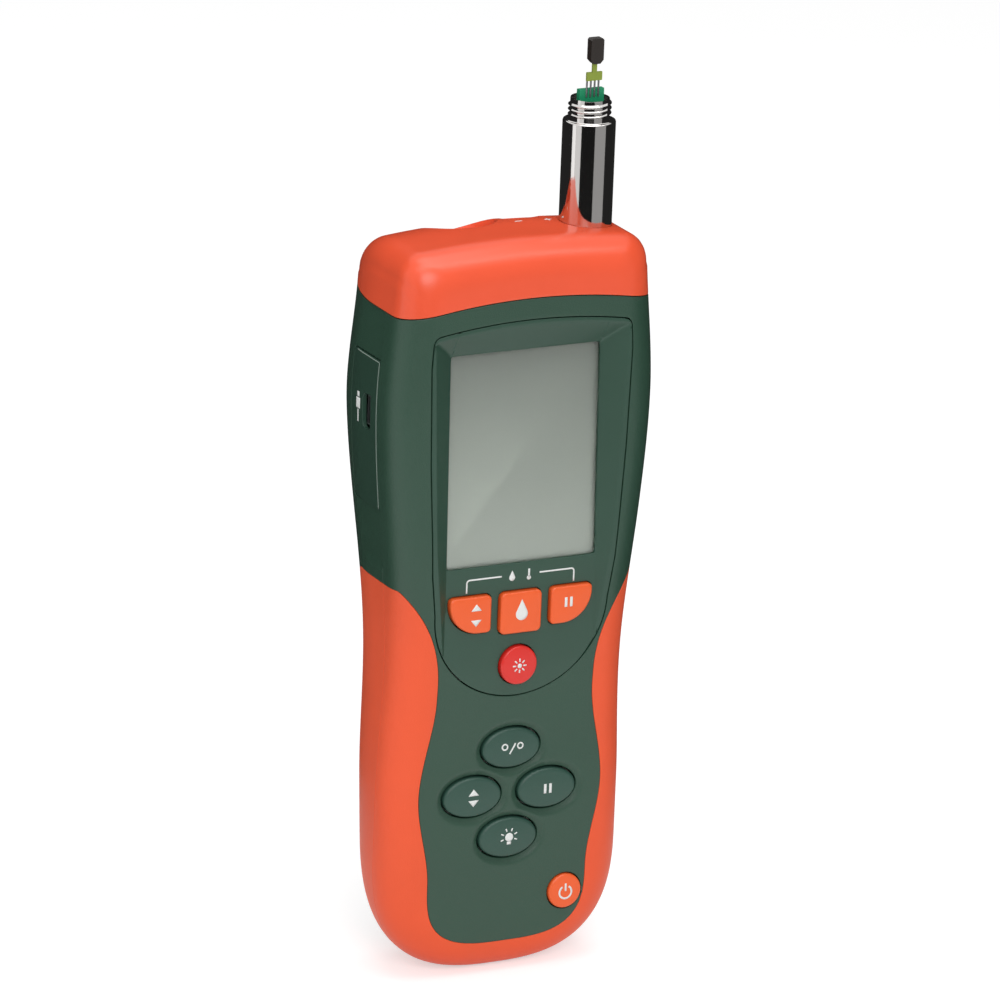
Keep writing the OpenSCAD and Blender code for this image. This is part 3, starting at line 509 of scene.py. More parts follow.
def pocket(bm, rule, push=None, depth=None, edge=0.25):
    """A recess with a rolled rim and a floor, pushed in by a step or down to a depth."""
    ground = bm.copy()
    keep(ground, rule)
    ways = Vector(push) if push is not None else Vector((0, -1, 0))
    deep = ways.length if push is not None else WELL_WALL
    for v in ground.verts:
        if push is not None:
            v.co += ways
        else:
            v.co.y = depth
    cut(bm, rule, edge, deep, into=ways.normalized())
    join(bm, ground)


def refine(bm, rule, cuts=1):
    """Makes the mesh finer inside a rule."""
    edges = list(dict.fromkeys(e for f in faces_where(bm, rule) for e in f.edges))
    bmesh.ops.subdivide_edges(bm, edges=edges, cuts=cuts, use_grid_fill=True)


def bend(bm, form):
    """Moves every point to where a form puts it."""
    verts = list(bm.verts)
    for v, p in zip(verts, form(points_of(verts))):
        v.co = Vector(p)


# Flat outlines and the rules made from them


def rounded(points, radius, steps=6, sharp=20):
    """A flat outline with each sharp corner replaced by an arc."""
    out = []
    count = len(points)
    for i in range(count):
        before = Vector(points[i - 1])
        here = Vector(points[i])
        after = Vector(points[(i + 1) % count])
        way_in = (here - before).normalized()
        way_out = (after - here).normalized()
        turn = math.acos(max(-1, min(1, way_in.dot(way_out))))
        if turn < math.radians(sharp):
            out.append(tuple(here))
            continue
        reach = radius * math.tan(turn / 2)
        side = 1 if way_in.cross(way_out) > 0 else -1
        across = Vector((-way_in.y, way_in.x)) * side
        middle = here - way_in * reach + across * radius
        for k in range(steps + 1):
            a = turn * k / steps
            out.append(tuple(middle - across * radius * math.cos(a) + way_in * radius * math.sin(a)))
    return out


def both_sides(right):
    """Closes an outline from its right half, which starts and ends on the middle line."""
    inner = right[1:] if abs(right[0][0]) < 1e-6 else right
    left = [(-x, z) for x, z in reversed(inner[:-1] if abs(inner[-1][0]) < 1e-6 else inner)]
    return list(right) + left


def outline_rule(shape, grow=0, axes=(0, 2)):
    """Distance to a closed flat outline, negative inside."""
    a = np.array(shape)
    b = np.roll(a, -1, 0)
    along = b - a
    size = (along ** 2).sum(1)

    def rule(p):
        q = p[:, axes][:, None, :]
        t = np.clip(((q - a) * along).sum(2) / size, 0, 1)[:, :, None]
        gap = np.sqrt(((q - a - along * t) ** 2).sum(2)).min(1)
        above = (a[:, 1] > q[:, :, 1]) != (b[:, 1] > q[:, :, 1])
        rise = np.where(along[:, 1] == 0, 1, along[:, 1])
        left = q[:, :, 0] < along[:, 0] * (q[:, :, 1] - a[:, 1]) / rise + a[:, 0]
        inside = (above & left).sum(1) % 2 == 1
        return np.where(inside, -gap, gap) - grow

    return rule


def circle_rule(x, z, r, axes=(0, 2)):
    """Distance to a round hole's edge, negative inside."""
    return lambda p: np.hypot(p[:, axes[0]] - x, p[:, axes[1]] - z) - r


def oval_rule(x, z, grow=0):
    """About the distance to an oval key's outline, negative inside."""
    a, b = OVAL_A + grow, OVAL_B + grow

    def rule(p):
        u = (p[:, 0] - x) / a
        v = (p[:, 2] - z) / b
        share = np.maximum(np.hypot(u, v), 1e-6)
        slope = np.hypot(u / a, v / b) / share
        return (share - 1) / np.maximum(slope, 1e-6)

    return rule


def above_seam(gap=0):
    """Negative above the arched seam under the cap."""
    centre = SEAM_Z - SEAM_R
    return lambda p: SEAM_R - np.hypot(p[:, 0], p[:, 2] - centre) - gap


def behind_parting(gap=0):
    """Negative behind the plane where the housing halves meet."""
    return lambda p: PARTING - p[:, 1] - gap


def before_parting(gap=0):
    return lambda p: p[:, 1] - PARTING - gap


def inlay_w(z):
    """Half width of the green inlay of the handle at a height."""
    if z > INLAY_WAIST_Z:
        reach = float(half_w(GRIP_TOP)) - INLAY_WAIST_W
        share = (z - INLAY_WAIST_Z) / (GRIP_TOP + 1 - INLAY_WAIST_Z)
        return INLAY_WAIST_W + reach * share ** INLAY_SWEEP
    if z > INLAY_WIDE_Z:
        share = ease((z - INLAY_WIDE_Z) / (INLAY_WAIST_Z - INLAY_WIDE_Z - 3))
        return float(mix(INLAY_WIDE_W, INLAY_WAIST_W, share))
    if z > INLAY_FOOT_Z:
        share = ease((z - INLAY_FOOT_Z) / (INLAY_WIDE_Z - INLAY_FOOT_Z))
        return float(mix(INLAY_FOOT_W, INLAY_WIDE_W, share))
    share = (INLAY_FOOT_Z - z) / (INLAY_FOOT_Z - INLAY_LOW)
    return INLAY_FOOT_W * max(0, 1 - share ** INLAY_POWER) ** (1 / INLAY_POWER)


def inlay_shape(foot_steps=24, side_steps=60, past_side=60, past_top=240):
    """Outline of all that isn't grip: the inlay of the handle, and everything over the grips."""
    right = []
    for i in range(foot_steps):
        turn = math.pi / 2 * (1 - i / foot_steps)
        z = INLAY_FOOT_Z - (INLAY_FOOT_Z - INLAY_LOW) * math.sin(turn) ** (2 / INLAY_POWER)
        right.append((inlay_w(z), z))
    right[0] = (0, INLAY_LOW)
    for i in range(side_steps + 1):
        z = mix(INLAY_FOOT_Z, GRIP_TOP, i / side_steps)
        right.append((inlay_w(z), z))
    right += [(past_side, GRIP_TOP), (past_side, past_top)]
    return both_sides(right)


def bezel_roof(x, reach=30):
    """Height of the bezel's arched upper edge, level past its reach."""
    drop = math.sqrt(BEZEL_ROOF_R ** 2 - BEZEL_ROOF_W ** 2)
    across = np.minimum(np.abs(x), reach)
    return BEZEL_ROOF_Z - drop + np.sqrt(BEZEL_ROOF_R ** 2 - across * across)


def bezel_shape(end_steps=30, roof_steps=12):
    """Outline of the bezel: a round foot, slanted sides and an arched top."""
    right = []
    for i in range(end_steps + 1):
        a = math.pi / 2 * i / end_steps
        right.append((BEZEL_END_R * math.sin(a), BEZEL_END_Z - BEZEL_END_R * math.cos(a)))
    right += [(BEZEL_MID_W, BEZEL_MID_Z), (BEZEL_HIGH_W, BEZEL_HIGH_Z), (BEZEL_W, BEZEL_WIDE_Z)]
    for i in range(roof_steps + 1):
        x = BEZEL_ROOF_W * (1 - i / roof_steps)
        right.append((x, float(bezel_roof(x))))
    return rounded(both_sides(right), BEZEL_CORNER_R, sharp=30)


def box_shape(low, high, radius=0):
    """A box from its low corner to its high one, with round corners if they have a radius."""
    points = [(low[0], low[1]), (high[0], low[1]), (high[0], high[1]), (low[0], high[1])]
    return rounded(points, radius) if radius else points


def box_around(x, z, wide, tall, radius=0):
    return box_shape((x - wide / 2, z - tall / 2), (x + wide / 2, z + tall / 2), radius)


def circle_shape(x, z, a, b=None, steps=72):
    """A circle, or an oval of two half widths."""
    turn = np.radians(np.arange(steps) * 360 / steps)
    return [(x + a * math.cos(t), z + (b or a) * math.sin(t)) for t in turn]


def inset(shape, gap):
    """A flat outline moved inwards."""
    p = np.array(shape, dtype=float)
    after = np.roll(p, -1, 0)
    area = (p[:, 0] * after[:, 1] - p[:, 1] * after[:, 0]).sum()
    along = after - np.roll(p, 1, 0)
    along /= np.hypot(along[:, 0], along[:, 1])[:, None]
    return p + np.stack([-along[:, 1], along[:, 0]], 1) * gap * np.sign(area)


def square_key_shape():
    return box_shape((-SQUARE_W / 2, ROW_LOW), (SQUARE_W / 2, ROW_TOP), SQUARE_R)


def side_key_shape(side, steps=18):
    """Outer orange key, with one large round corner."""
    x, z = SIDE_KEY_OUT - SIDE_KEY_R, ROW_TOP - SIDE_KEY_DROP
    points = [(SIDE_KEY_IN, ROW_TOP), (SIDE_KEY_IN, z - SIDE_KEY_R)]
    for i in range(steps + 1):
        a = math.pi / 2 * i / steps
        points.append((x + SIDE_KEY_R * math.sin(a), z - SIDE_KEY_R * math.cos(a)))
    points.append((SIDE_KEY_OUT, ROW_TOP))
    points = rounded(points, SIDE_KEY_CORNER_R, sharp=30)
    return [(side * x, z) for x, z in points]


def cross_places():
    """Where the four oval keys lie."""
    return {
        "unit_button": (0, CROSS_Z + CROSS_REACH),
        "max_button": (-CROSS_X, CROSS_Z),
        "hold_button": (CROSS_X, CROSS_Z),
        "backlight_button": (0, CROSS_Z - CROSS_REACH),
    }


# Node groups and materials


def put(node, **values):
    """Sets values on a node's own sockets."""
    for name, value in values.items():
        node.inputs[name.replace("_", " ")].default_value = value
    return node


def grain_group():
    """Fine moulded grain: a height for a Bump node and a mask that varies over the surface."""
    tree = bpy.data.node_groups.new("moulded grain", "ShaderNodeTree")
    sides = {"Grain size": "INPUT", "Cloud size": "INPUT", "Height": "OUTPUT", "Cloud": "OUTPUT"}
    for name, side in sides.items():
        tree.interface.new_socket(name=name, in_out=side, socket_type="NodeSocketFloat")
    start = tree.nodes.new("NodeGroupInput")
    end = tree.nodes.new("NodeGroupOutput")
    place = tree.nodes.new("ShaderNodeTexCoord")
    fine = put(tree.nodes.new("ShaderNodeTexNoise"), Detail=3)
    cells = tree.nodes.new("ShaderNodeTexVoronoi")
    blend = tree.nodes.new("ShaderNodeMath")
    blend.operation = "MULTIPLY_ADD"
    blend.inputs[1].default_value = 0.5
    cloud = put(tree.nodes.new("ShaderNodeTexNoise"), Detail=5)
    link = tree.links.new
    for node in (fine, cells, cloud):
        link(place.outputs["Object"], node.inputs["Vector"])
    link(start.outputs["Grain size"], fine.inputs["Scale"])
    link(start.outputs["Grain size"], cells.inputs["Scale"])
    link(start.outputs["Cloud size"], cloud.inputs["Scale"])
    link(cells.outputs["Distance"], blend.inputs[0])
    link(fine.outputs["Fac"], blend.inputs[2])
    link(blend.outputs[0], end.inputs["Height"])
    link(cloud.outputs["Fac"], end.inputs["Cloud"])
    return tree


GRAIN = grain_group()
GRAIN_HEIGHT = 0.0002


def shader(material):
    return material.node_tree.nodes["Principled BSDF"]


def moulded(name, colour, roughness, spread=0.06, bump=0.04, grain=2600, cloud=45, tint=0.9, **sockets):
    """A material whose colour and gloss vary a little over the surface, with fine grain."""
    material = bpy.data.materials.new(name)
    material.use_nodes = True
    tree = material.node_tree
    link = tree.links.new
    out = put(shader(material), Base_Color=(*colour, 1), **sockets)
    group = tree.nodes.new("ShaderNodeGroup")
    group.node_tree = GRAIN
    put(group, Grain_size=grain, Cloud_size=cloud)
    paint = tree.nodes.new("ShaderNodeMix")
    paint.data_type = "RGBA"
    paint.inputs["A"].default_value = (*[c * tint for c in colour], 1)
    paint.inputs["B"].default_value = (*[min(1, c * (2 - tint)) for c in colour], 1)
    gloss = put(tree.nodes.new("ShaderNodeMapRange"), From_Min=0.05, From_Max=0.95)
    put(gloss, To_Min=max(0, roughness - spread), To_Max=min(1, roughness + spread))
    relief = put(tree.nodes.new("ShaderNodeBump"), Strength=bump, Distance=GRAIN_HEIGHT)
    link(group.outputs["Cloud"], paint.inputs["Factor"])
    link(paint.outputs["Result"], out.inputs["Base Color"])
    link(group.outputs["Cloud"], gloss.inputs["Value"])
    link(gloss.outputs["Result"], out.inputs["Roughness"])
    link(group.outputs["Height"], relief.inputs["Height"])
    link(relief.outputs["Normal"], out.inputs["Normal"])
    return material


def linear(r, g, b):
    """A colour given as it shows on a screen, from 0 to 255."""
    return [((c / 255 + 0.055) / 1.055) ** 2.4 if c > 10 else c / 255 / 12.92 for c in (r, g, b)]


def make_materials():
    """Every finish, by its slot."""
    return {
        "housing_green": moulded("housing green", linear(44, 76, 60), 0.42, bump=0.25, grain=3000),
        "cap_orange": moulded("cap orange", linear(246, 90, 54), 0.3, bump=0.03),
        "grip_orange": moulded("grip orange", linear(246, 90, 46), 0.5, bump=0.2, grain=3400),
        "panel_green": moulded("panel green", linear(42, 72, 58), 0.4, bump=0.2, grain=3000),
        # edge_light is a pale grey for a painted highlight along the port panel's edge, standing in for its
        # chamfer catching the light
        "edge_light": moulded("painted edge highlight", linear(150, 166, 156), 0.4, tint=0.97),
        "bezel_green": moulded("bezel green", linear(44, 76, 61), 0.38, bump=0.12, grain=3000),
        "window_clear": window_clear(),
        "lcd_grey": moulded("display grey", linear(190, 196, 188), 0.4, bump=0, tint=0.99),
        "light_guide": moulded("white diffuser", linear(238, 240, 238), 0.4),
        "board_green": moulded("board green", linear(30, 104, 62), 0.3, bump=0.1),
        "part_black": moulded("black moulding", linear(30, 30, 32), 0.45, bump=0.1),
        "mat_grey": moulded("silicone grey", linear(196, 198, 194), 0.6, bump=0.1),
        "key_orange": moulded("key orange", linear(250, 99, 42), 0.36, bump=0.05),
        "key_red": moulded("key red", linear(226, 44, 36), 0.3, bump=0.04),
        "key_green": moulded("key green", linear(46, 80, 68), 0.44, bump=0.12),
        "tube_chrome": metal("polished chrome", (0.72, 0.7, 0.68), 0.07),
        "plated_steel": metal("zinc plate", (0.4, 0.41, 0.42), 0.34),
        "contact_brass": metal("brass", (0.72, 0.56, 0.28), 0.25),
        "socket_yellow": moulded("socket yellow", linear(226, 184, 60), 0.35),
        "sensor_green": moulded("sensor board green", linear(34, 150, 104), 0.35, bump=0.1),
        "carrier_olive": moulded("carrier olive", linear(140, 158, 60), 0.45),
        "sensor_dark": moulded("sensor body", linear(44, 38, 34), 0.4),
        "lens_dark": moulded("infrared lens", (0.03, 0.025, 0.04), 0.08, bump=0, Coat_Weight=0.6),
        "battery_metal": moulded("battery jacket", linear(66, 68, 74), 0.35, Metallic=0.6),
        "ink_white": moulded("white ink", linear(236, 238, 236), 0.5, bump=0.02, tint=0.98),
    }


def metal(name, colour, roughness):
    return moulded(name, colour, roughness, spread=0.02, bump=0.01, tint=0.97, Metallic=1.0)


def window_clear():
    """The clear window over the display."""
    clear = {"Transmission_Weight": 1, "IOR": 1.45, "Specular_IOR_Level": 0.2}
    return moulded("display window", (0.86, 0.88, 0.86), 0.12, bump=0.02, tint=0.99, **clear)


MATERIALS = make_materials()


def finished(bm, name, slot, nodes=(), body="meter"):
    """Turns a bmesh in millimetres into a piece of the scene that rides on its body."""
    # Nothing stands out before the head's front plane
    for v in bm.verts:
        v.co.y = max(v.co.y, 0)
    bmesh.ops.scale(bm, vec=(MM, MM, MM), verts=bm.verts)
    bmesh.ops.translate(bm, vec=(0, FRONT_PLANE * MM, 0), verts=bm.verts)
    mesh = bpy.data.meshes.new(name)
    bm.to_mesh(mesh)
    bm.free()
    mesh.shade_smooth()
    mesh.materials.append(MATERIALS[slot])
    piece = bpy.data.objects.new(name, mesh)
    bpy.context.scene.collection.objects.link(piece)
    weigh = piece.modifiers.new("normals", "WEIGHTED_NORMAL")
    weigh.keep_sharp = True
    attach(piece, body)
    if nodes:
        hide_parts(*nodes)


# Shells of the body


def housing_half(skin, other_half):
    """The skin without its other half, the cap and the grips."""
    bm = skin.copy()
    cut(bm, other_half, edge=FINE_EDGE)
    cut(bm, above_seam(SEAM_GAP))
    cut_keep(bm, outline_rule(inlay_shape(), -GRIP_GAP), edge=FINE_EDGE)
    return bm


def front_shell(skin):
    bm = housing_half(skin, behind_parting(PARTING_GAP))
    for x, z in cross_places().values():
        refine(bm, oval_rule(x, z, OVAL_DISH_REACH))
        bend(bm, lambda p, x=x, z=z: dished(p, x, z))
        cut(bm, oval_rule(x, z, OVAL_GAP), edge=0.3)
    cut(bm, circle_rule(POWER_X, POWER_Z, POWER_R + KEY_GAP))
    cut(bm, outline_rule(bezel_shape(), GROOVE), edge=BEZEL_EDGE, wall=BEZEL_BACK, into=(0, 1, 0))
    finished(bm, "front_shell", "housing_green", ["front_housing"])


def dished(p, x, z):
    """The soft recess around an oval key."""
    out = p.copy()
    far = oval_rule(x, z, OVAL_GAP)(p)
    out[:, 1] += OVAL_DISH * (1 - ease(far / OVAL_DISH_W)) * (far < OVAL_DISH_W)
    return out


def on_back(p, z):
    """Points seen in the frame of the leaning back at a height: right, outwards and up along it."""
    y = p[:, 1] - back_y(z)
    up = p[:, 2] - z
    out = y * math.cos(LEAN) - up * math.sin(LEAN)
    along = y * math.sin(LEAN) + up * math.cos(LEAN)
    return np.stack([p[:, 0], out, along], 1)


def back_rule(shape, z):
    """Distance to an outline drawn on the leaning back, about a height."""
    flat = outline_rule(shape)
    return lambda p: flat(on_back(p, z))


def door_shape(gap):
    half = (DOOR_TOP - DOOR_LOW) / 2
    return box_shape((-DOOR_W / 2 - gap, -half - gap), (DOOR_W / 2 + gap, half + gap), DOOR_CORNER_R)


def stand_shape(gap):
    low = (-STAND_W / 2 - gap, -STAND_L - gap)
    high = (STAND_W / 2 + gap, STAND_T / 2 + gap)
    return box_shape(low, high, STAND_CORNER_R)


def nicked(p):
    """The finger hollow under the foot of the stand."""
    out = p.copy()
    local = on_back(p, HINGE_Z)
    far = np.hypot(local[:, 0], local[:, 2] + STAND_L + 1)
    deep = np.sqrt(np.maximum(NICK_R ** 2 - far ** 2, 0)) - NICK_BURIED
    inside = (deep > 0) & (p[:, 1] > PARTING)
    return out - np.array(BACK_OUT) * (deep * inside)[:, None]


def panel_rule(front, grow=0):
    """The place of the port panel on the left side."""
    return lambda p: np.max([
        p[:, 0] - PANEL_LEFT_OF, front - p[:, 1], p[:, 1] - PANEL_END - grow,
        PANEL_LOW - grow - p[:, 2], p[:, 2] - PANEL_HIGH - grow], 0)


def rear_shell(skin):
    bm = housing_half(skin, before_parting(PARTING_GAP))
    bend(bm, side_recessed)
    refine(bm, back_rule(circle_shape(0, -STAND_L - 1, NICK_REACH), HINGE_Z), 2)
    bend(bm, nicked)
    stand = back_rule(stand_shape(STAND_GAP), HINGE_Z)
    pocket(bm, stand, push=-BACK_OUT * (STAND_T + STAND_UNDER))
    door = back_rule(door_shape(FIT_GAP), (DOOR_LOW + DOOR_TOP) / 2)
    pocket(bm, door, push=-BACK_OUT * (DOOR_T + DOOR_UNDER))
    cut(bm, back_rule(circle_shape(0, 0, INSERT_R + INSERT_GAP), TRIPOD_Z), edge=0.1)
    for x, z, depth in WELLS:
        pocket(bm, circle_rule(x, z, WELL_R), depth=depth, edge=WELL_EDGE)
    cut(bm, panel_rule(PARTING - 1, PANEL_GAP), edge=0.1)
    finished(bm, "rear_shell", "housing_green", ["rear_housing"])


def side_panel(skin):
    """The port panel. Gives back its surface for the ink, as the cap, bezel and keys do."""
    bm = skin.copy()
    cut_keep(bm, panel_rule(PANEL_FRONT), edge=PANEL_EDGE, wall=PANEL_WALL)
    slot = box_around(SLOT_Y, SLOT_Z, SLOT_T, SLOT_L, SLOT_CORNER_R)
    cut(bm, outline_rule(slot, axes=(1, 2)), edge=FINE_EDGE, wall=PANEL_WALL)
    tree = BVHTree.FromBMesh(bm)
    finished(bm, "side_panel", "panel_green", ["port_panel"])
    return tree


def side_recessed(p, run=0.4):
    """The rear shell's sides lie a little lower than the front shell's."""
    out = p.copy()
    depth = SIDE_RECESS * ease((p[:, 2] - SIDE_RECESS_Z) / run)
    limit = half_w(p[:, 2]) - depth
    out[:, 0] = np.clip(p[:, 0], -limit, limit)
    return out


def cone_r(z):
    """Radius of the conical scoop in front of the infrared lens."""
    return SCOOP_FLOOR_R + SCOOP_FLARE * (z - SCOOP_Z)


def scoop_rule(p):
    return np.hypot(p[:, 0] - SCOOP_X, p[:, 1] - SCOOP_Y) - cone_r(p[:, 2]) - SCOOP_RIM


def floor_hole(x, radius, reach=0.4):
    """A round hole that holds only near the scoop's floor."""
    hole = circle_rule(x, SCOOP_Y, radius, axes=(0, 1))
    return lambda p: np.maximum(hole(p), np.abs(p[:, 2] - SCOOP_Z) - reach)


def lowered(bm, rim, place):
    """Grows a new ring of surface from a rim and moves it to its place."""
    rim, new = grown(bm, rim)
    for v in new:
        way = Vector((v.co.x - SCOOP_X, v.co.y - SCOOP_Y)).normalized()
        radius, z = place(v.co)
        v.co = Vector((SCOOP_X + way.x * radius, SCOOP_Y + way.y * radius, z))
    return rim


def scoop(bm, steps=5):
    """Opens the skin and runs a conical wall down to a flat floor with the lens and laser holes."""
    remove(bm, scoop_rule)
    # The rim rolls over in two steps
    rim = lowered(bm, rim_of(bm, scoop_rule), lambda co: (cone_r(co.z) + 0.22, co.z - 0.05))
    rim = lowered(bm, rim, lambda co: (cone_r(co.z - 0.2) + 0.04, co.z - 0.2))
    for left in range(steps, 0, -1):
        def down(co, left=left):
            z = SCOOP_Z + (co.z - SCOOP_Z) * (left - 1) / left
            return cone_r(z), z
        rim = lowered(bm, rim, down)
    for radius in SCOOP_RINGS:
        rim = lowered(bm, rim, lambda co, radius=radius: (radius, SCOOP_Z))
    bmesh.ops.remove_doubles(bm, verts=bm.verts, dist=0.01)
    for hole in (floor_hole(LENS_X, LENS_R), floor_hole(LASER_X, LASER_R)):
        cut(bm, hole, edge=0.1, wall=1.2)


def upper(rule):
    """A rule that holds only in the cap's top."""
    return lambda p: np.maximum(rule(p), SCOOP_Z - p[:, 2])


def socket_shape():
    """The thermocouple socket's hole, seen from above."""
    low = [c - COUPLE_GAP for c in COUPLE_LOW]
    high = [c + COUPLE_GAP for c in COUPLE_HIGH]
    return box_shape(low, high, COUPLE_CORNER_R)


def cap(skin):
    bm = skin.copy()
    cut_keep(bm, above_seam(-SEAM_GAP))
    tree = BVHTree.FromBMesh(bm)
    tube_hole = circle_rule(PROBE_X, PROBE_Y, TUBE_R + TUBE_GAP, axes=(0, 1))
    cut(bm, upper(tube_hole), edge=0.3, into=(0, 0, -1))
    cut(bm, upper(outline_rule(socket_shape(), axes=(0, 1))), wall=3, into=(0, 0, -1))
    scoop(bm)
    finished(bm, "cap", "cap_orange", ["top_cap"])
    return tree


def grips(skin):
    bm = skin.copy()
    cut(bm, outline_rule(inlay_shape(), GRIP_GAP), edge=FINE_EDGE, wall=GRIP_WALL)
    front = bm.copy()
    cut(front, behind_parting(PARTING_GAP), edge=0.1, wall=GRIP_WALL)
    finished(front, "front_grip_pad", "grip_orange", ["front_grip"])
    cut(bm, before_parting(PARTING_GAP), edge=0.1, wall=GRIP_WALL)
    finished(bm, "rear_grip_pad", "grip_orange", ["rear_grip"])


def bezel(skin):
    bm = skin.copy()
    remove(bm, behind_parting())
    for rule in crease_rules():
        for shift in (-CREASE, 0, CREASE):
            score(bm, lambda p, rule=rule, shift=shift: rule(p) - shift, snap=0.12)
    bend(bm, dish_form)
    cut_keep(bm, outline_rule(bezel_shape()), edge=BEZEL_EDGE)
    display = box_shape((-LCD_W, LCD_LOW), (LCD_W, LCD_TOP), LCD_CORNER_R)
    cut(bm, outline_rule(display), edge=FINE_EDGE, wall=0.8, into=(0, 1, 0))
    for shape in (square_key_shape(), side_key_shape(-1), side_key_shape(1)):
        cut(bm, outline_rule(shape, KEY_GAP), edge=BEZEL_EDGE)
    cut(bm, circle_rule(0, LASER_KEY_Z, LASER_KEY_R + KEY_GAP), edge=BEZEL_EDGE)
    tree = BVHTree.FromBMesh(bm)
    finished(bm, "bezel", "bezel_green", ["bezel_plate"])
    return tree


def floor_depth(z):
    """Depth of the floor around the display and the keys."""
    share = (z - LCD_LOW) / (LCD_TOP - LCD_LOW)
    return np.where(z > LCD_LOW, mix(DISH_LOW, DISH_TOP, share), DISH_LOW)


def side_depth(p):
    """Depth of the slope beside the floor."""
    share = (p[:, 2] - BEZEL_MID_Z) / (BEZEL_WIDE_Z - BEZEL_MID_Z)
    run = mix(BEZEL_MID_W, BEZEL_W, share) - SIDE_RIM - LCD_W
    return floor_depth(p[:, 2]) * (1 - (np.abs(p[:, 0]) - LCD_W) / np.maximum(run, 2))


def top_depth(p):
    """Depth of the slope over the floor."""
    run = bezel_roof(p[:, 0]) - TOP_RIM - LCD_TOP
    return DISH_TOP * (1 - (p[:, 2] - LCD_TOP) / run)


def only_where(inside, value):
    """A rule's value where it counts, and a far one of the same sign elsewhere."""
    return np.where(inside, value, np.copysign(9, value))


def crease_rules():
    """Lines where the bezel changes its slope, scaled to about a distance along its face."""
    return [
        lambda p: only_where(p[:, 2] < LCD_LOW + 1, np.abs(p[:, 0]) - LCD_W),
        lambda p: only_where(p[:, 2] > LCD_TOP - 1, (side_depth(p) - top_depth(p)) * 0.9),
        lambda p: (side_depth(p) - front_y(p[:, 2])) * 1.3,
        lambda p: (top_depth(p) - front_y(p[:, 2])) * 1.3,
    ]


def soft_max(a, b, width):
    """The larger of two depths, with a round change from one to the other."""
    t = np.clip(0.5 + 0.5 * (a - b) / width, 0, 1)
    return mix(b, a, t) + width * t * (1 - t)


def dish_form(p, mitre=0.35, foot=0.12, rim=0.25):
    """The recess around the display, with mitred slopes at the sides and at the top."""
    out = p.copy()
    slopes = -soft_max(-side_depth(p), -top_depth(p), mitre)
    recess = -soft_max(-slopes, -floor_depth(p[:, 2]), foot)
    front = front_y(p[:, 2])
    out[:, 1] = np.maximum(front, soft_max(front, recess, rim) - rim / 4)
    return out


# Keys


def key_block(shape, face, skirt, edge, crown):
    """A moulded key over an outline: a skirt, a round edge and a slightly crowned face."""
    line = np.array(shape)
    middle = (line.max(0) + line.min(0)) / 2
    foot = face + skirt
    rings = [at_depth(line * 0 + middle, foot), at_depth(line, foot), at_depth(line, foot - 0.05)]
    for a in np.radians(np.linspace(0, 90, 8)):
        rounded_in = inset(line, edge * (1 - math.cos(a)))
        rings.append(at_depth(rounded_in, face + crown + edge * (1 - math.sin(a))))
    flat = inset(line, edge)
    for share in (0.8, 0.6, 0.4, 0.2, 0):
        rings.append(at_depth(mix(middle, flat, share), face + crown * share ** 2))
    return wrapped(rings)


def key(node, shape, face, slot, edge, crown):
    """Makes one key and gives back its surface for the ink."""
    bm = key_block(shape, face, KEY_SKIRT, edge, crown)
    tree = BVHTree.FromBMesh(bm)
    finished(bm, node + "_cap", slot, [node], body=node)
    return tree


def keys():
    """Every key's surface, by its node."""
    face = DISH_LOW - KEY_PROUD
    row = {
        "probe_max_button": side_key_shape(-1),
        "wet_bulb_button": square_key_shape(),
        "probe_hold_button": side_key_shape(1),
    }
    made = {node: key(node, shape, face, "key_orange", edge=0.7, crown=0.15) for node, shape in row.items()}
    shape = circle_shape(0, LASER_KEY_Z, LASER_KEY_R)
    made["laser_button"] = key("laser_button", shape, face, "key_red", edge=0.6, crown=0.25)
    shape = circle_shape(POWER_X, POWER_Z, POWER_R)
    face = float(front_y(POWER_Z)) - POWER_PROUD
    made["power_button"] = key("power_button", shape, face, "key_orange", edge=0.7, crown=0.2)
    for node, (x, z) in cross_places().items():
        shape = circle_shape(x, z, OVAL_A, OVAL_B)
        face = float(front_y(z)) - OVAL_PROUD
        made[node] = key(node, shape, face, "key_green", edge=1, crown=0.35)
    return made


# Ink, and one painted highlight line


def stroke(points, width=0.42):
    """Outline of a pen line through some points."""
    p = np.array(points, dtype=float)
    along = np.gradient(p, axis=0)
    along /= np.hypot(along[:, 0], along[:, 1])[:, None]
    side = np.stack([-along[:, 1], along[:, 0]], 1) * width / 2
    return np.concatenate([p + side, (p - side)[::-1]]).tolist()


def arc(x, z, r, start, end, steps=24):
    """Points along an arc, between two angles in degrees."""
    turn = np.radians(np.linspace(start, end, steps + 1))
    return [(x + r * math.cos(a), z + r * math.sin(a)) for a in turn]


def ring(x, z, r, width=0.4):
    return stroke(arc(x, z, r, 0, 359.5, 40), width)


def arrows(x, high, low, size=1.5):
    """Solid arrow heads that point up and down."""
    shapes = []
    for z, way in ((high, 1), (low, -1)):
        foot = z - way * size * 0.45
        shapes.append([(x - size, foot), (x + size, foot), (x, z + way * size * 0.75)])
    return shapes


def bars(x, z, tall=2.6, gap=0.75, wide=0.75):
    return [box_around(x + shift, z, wide, tall) for shift in (-gap, gap)]


def drop(x, z, r):
    return arc(x, z - r * 0.4, r, -205, 25, 20) + [(x, z + r * 1.9)]


def thermometer(x, z):
    return [circle_shape(x, z - 1, 0.6, steps=20), box_shape((x - 0.26, z - 0.8), (x + 0.26, z + 1.4))]


def rays(x, z, reach, turns):
    """Short lines that point away from a place, at some angles in degrees."""
    ways = [(math.cos(math.radians(t)), math.sin(math.radians(t))) for t in turns]
    return [stroke([(x + r * across, z + r * up) for r in reach], 0.36) for across, up in ways]


def bulb(x, z):
    glass = circle_shape(x, z + 0.25, 1.15, steps=32)
    foot = box_shape((x - 0.6, z - 1.75), (x + 0.6, z - 0.95))
    return [glass, foot] + rays(x, z + 0.25, (1.65, 2.5), range(-20, 201, 44))


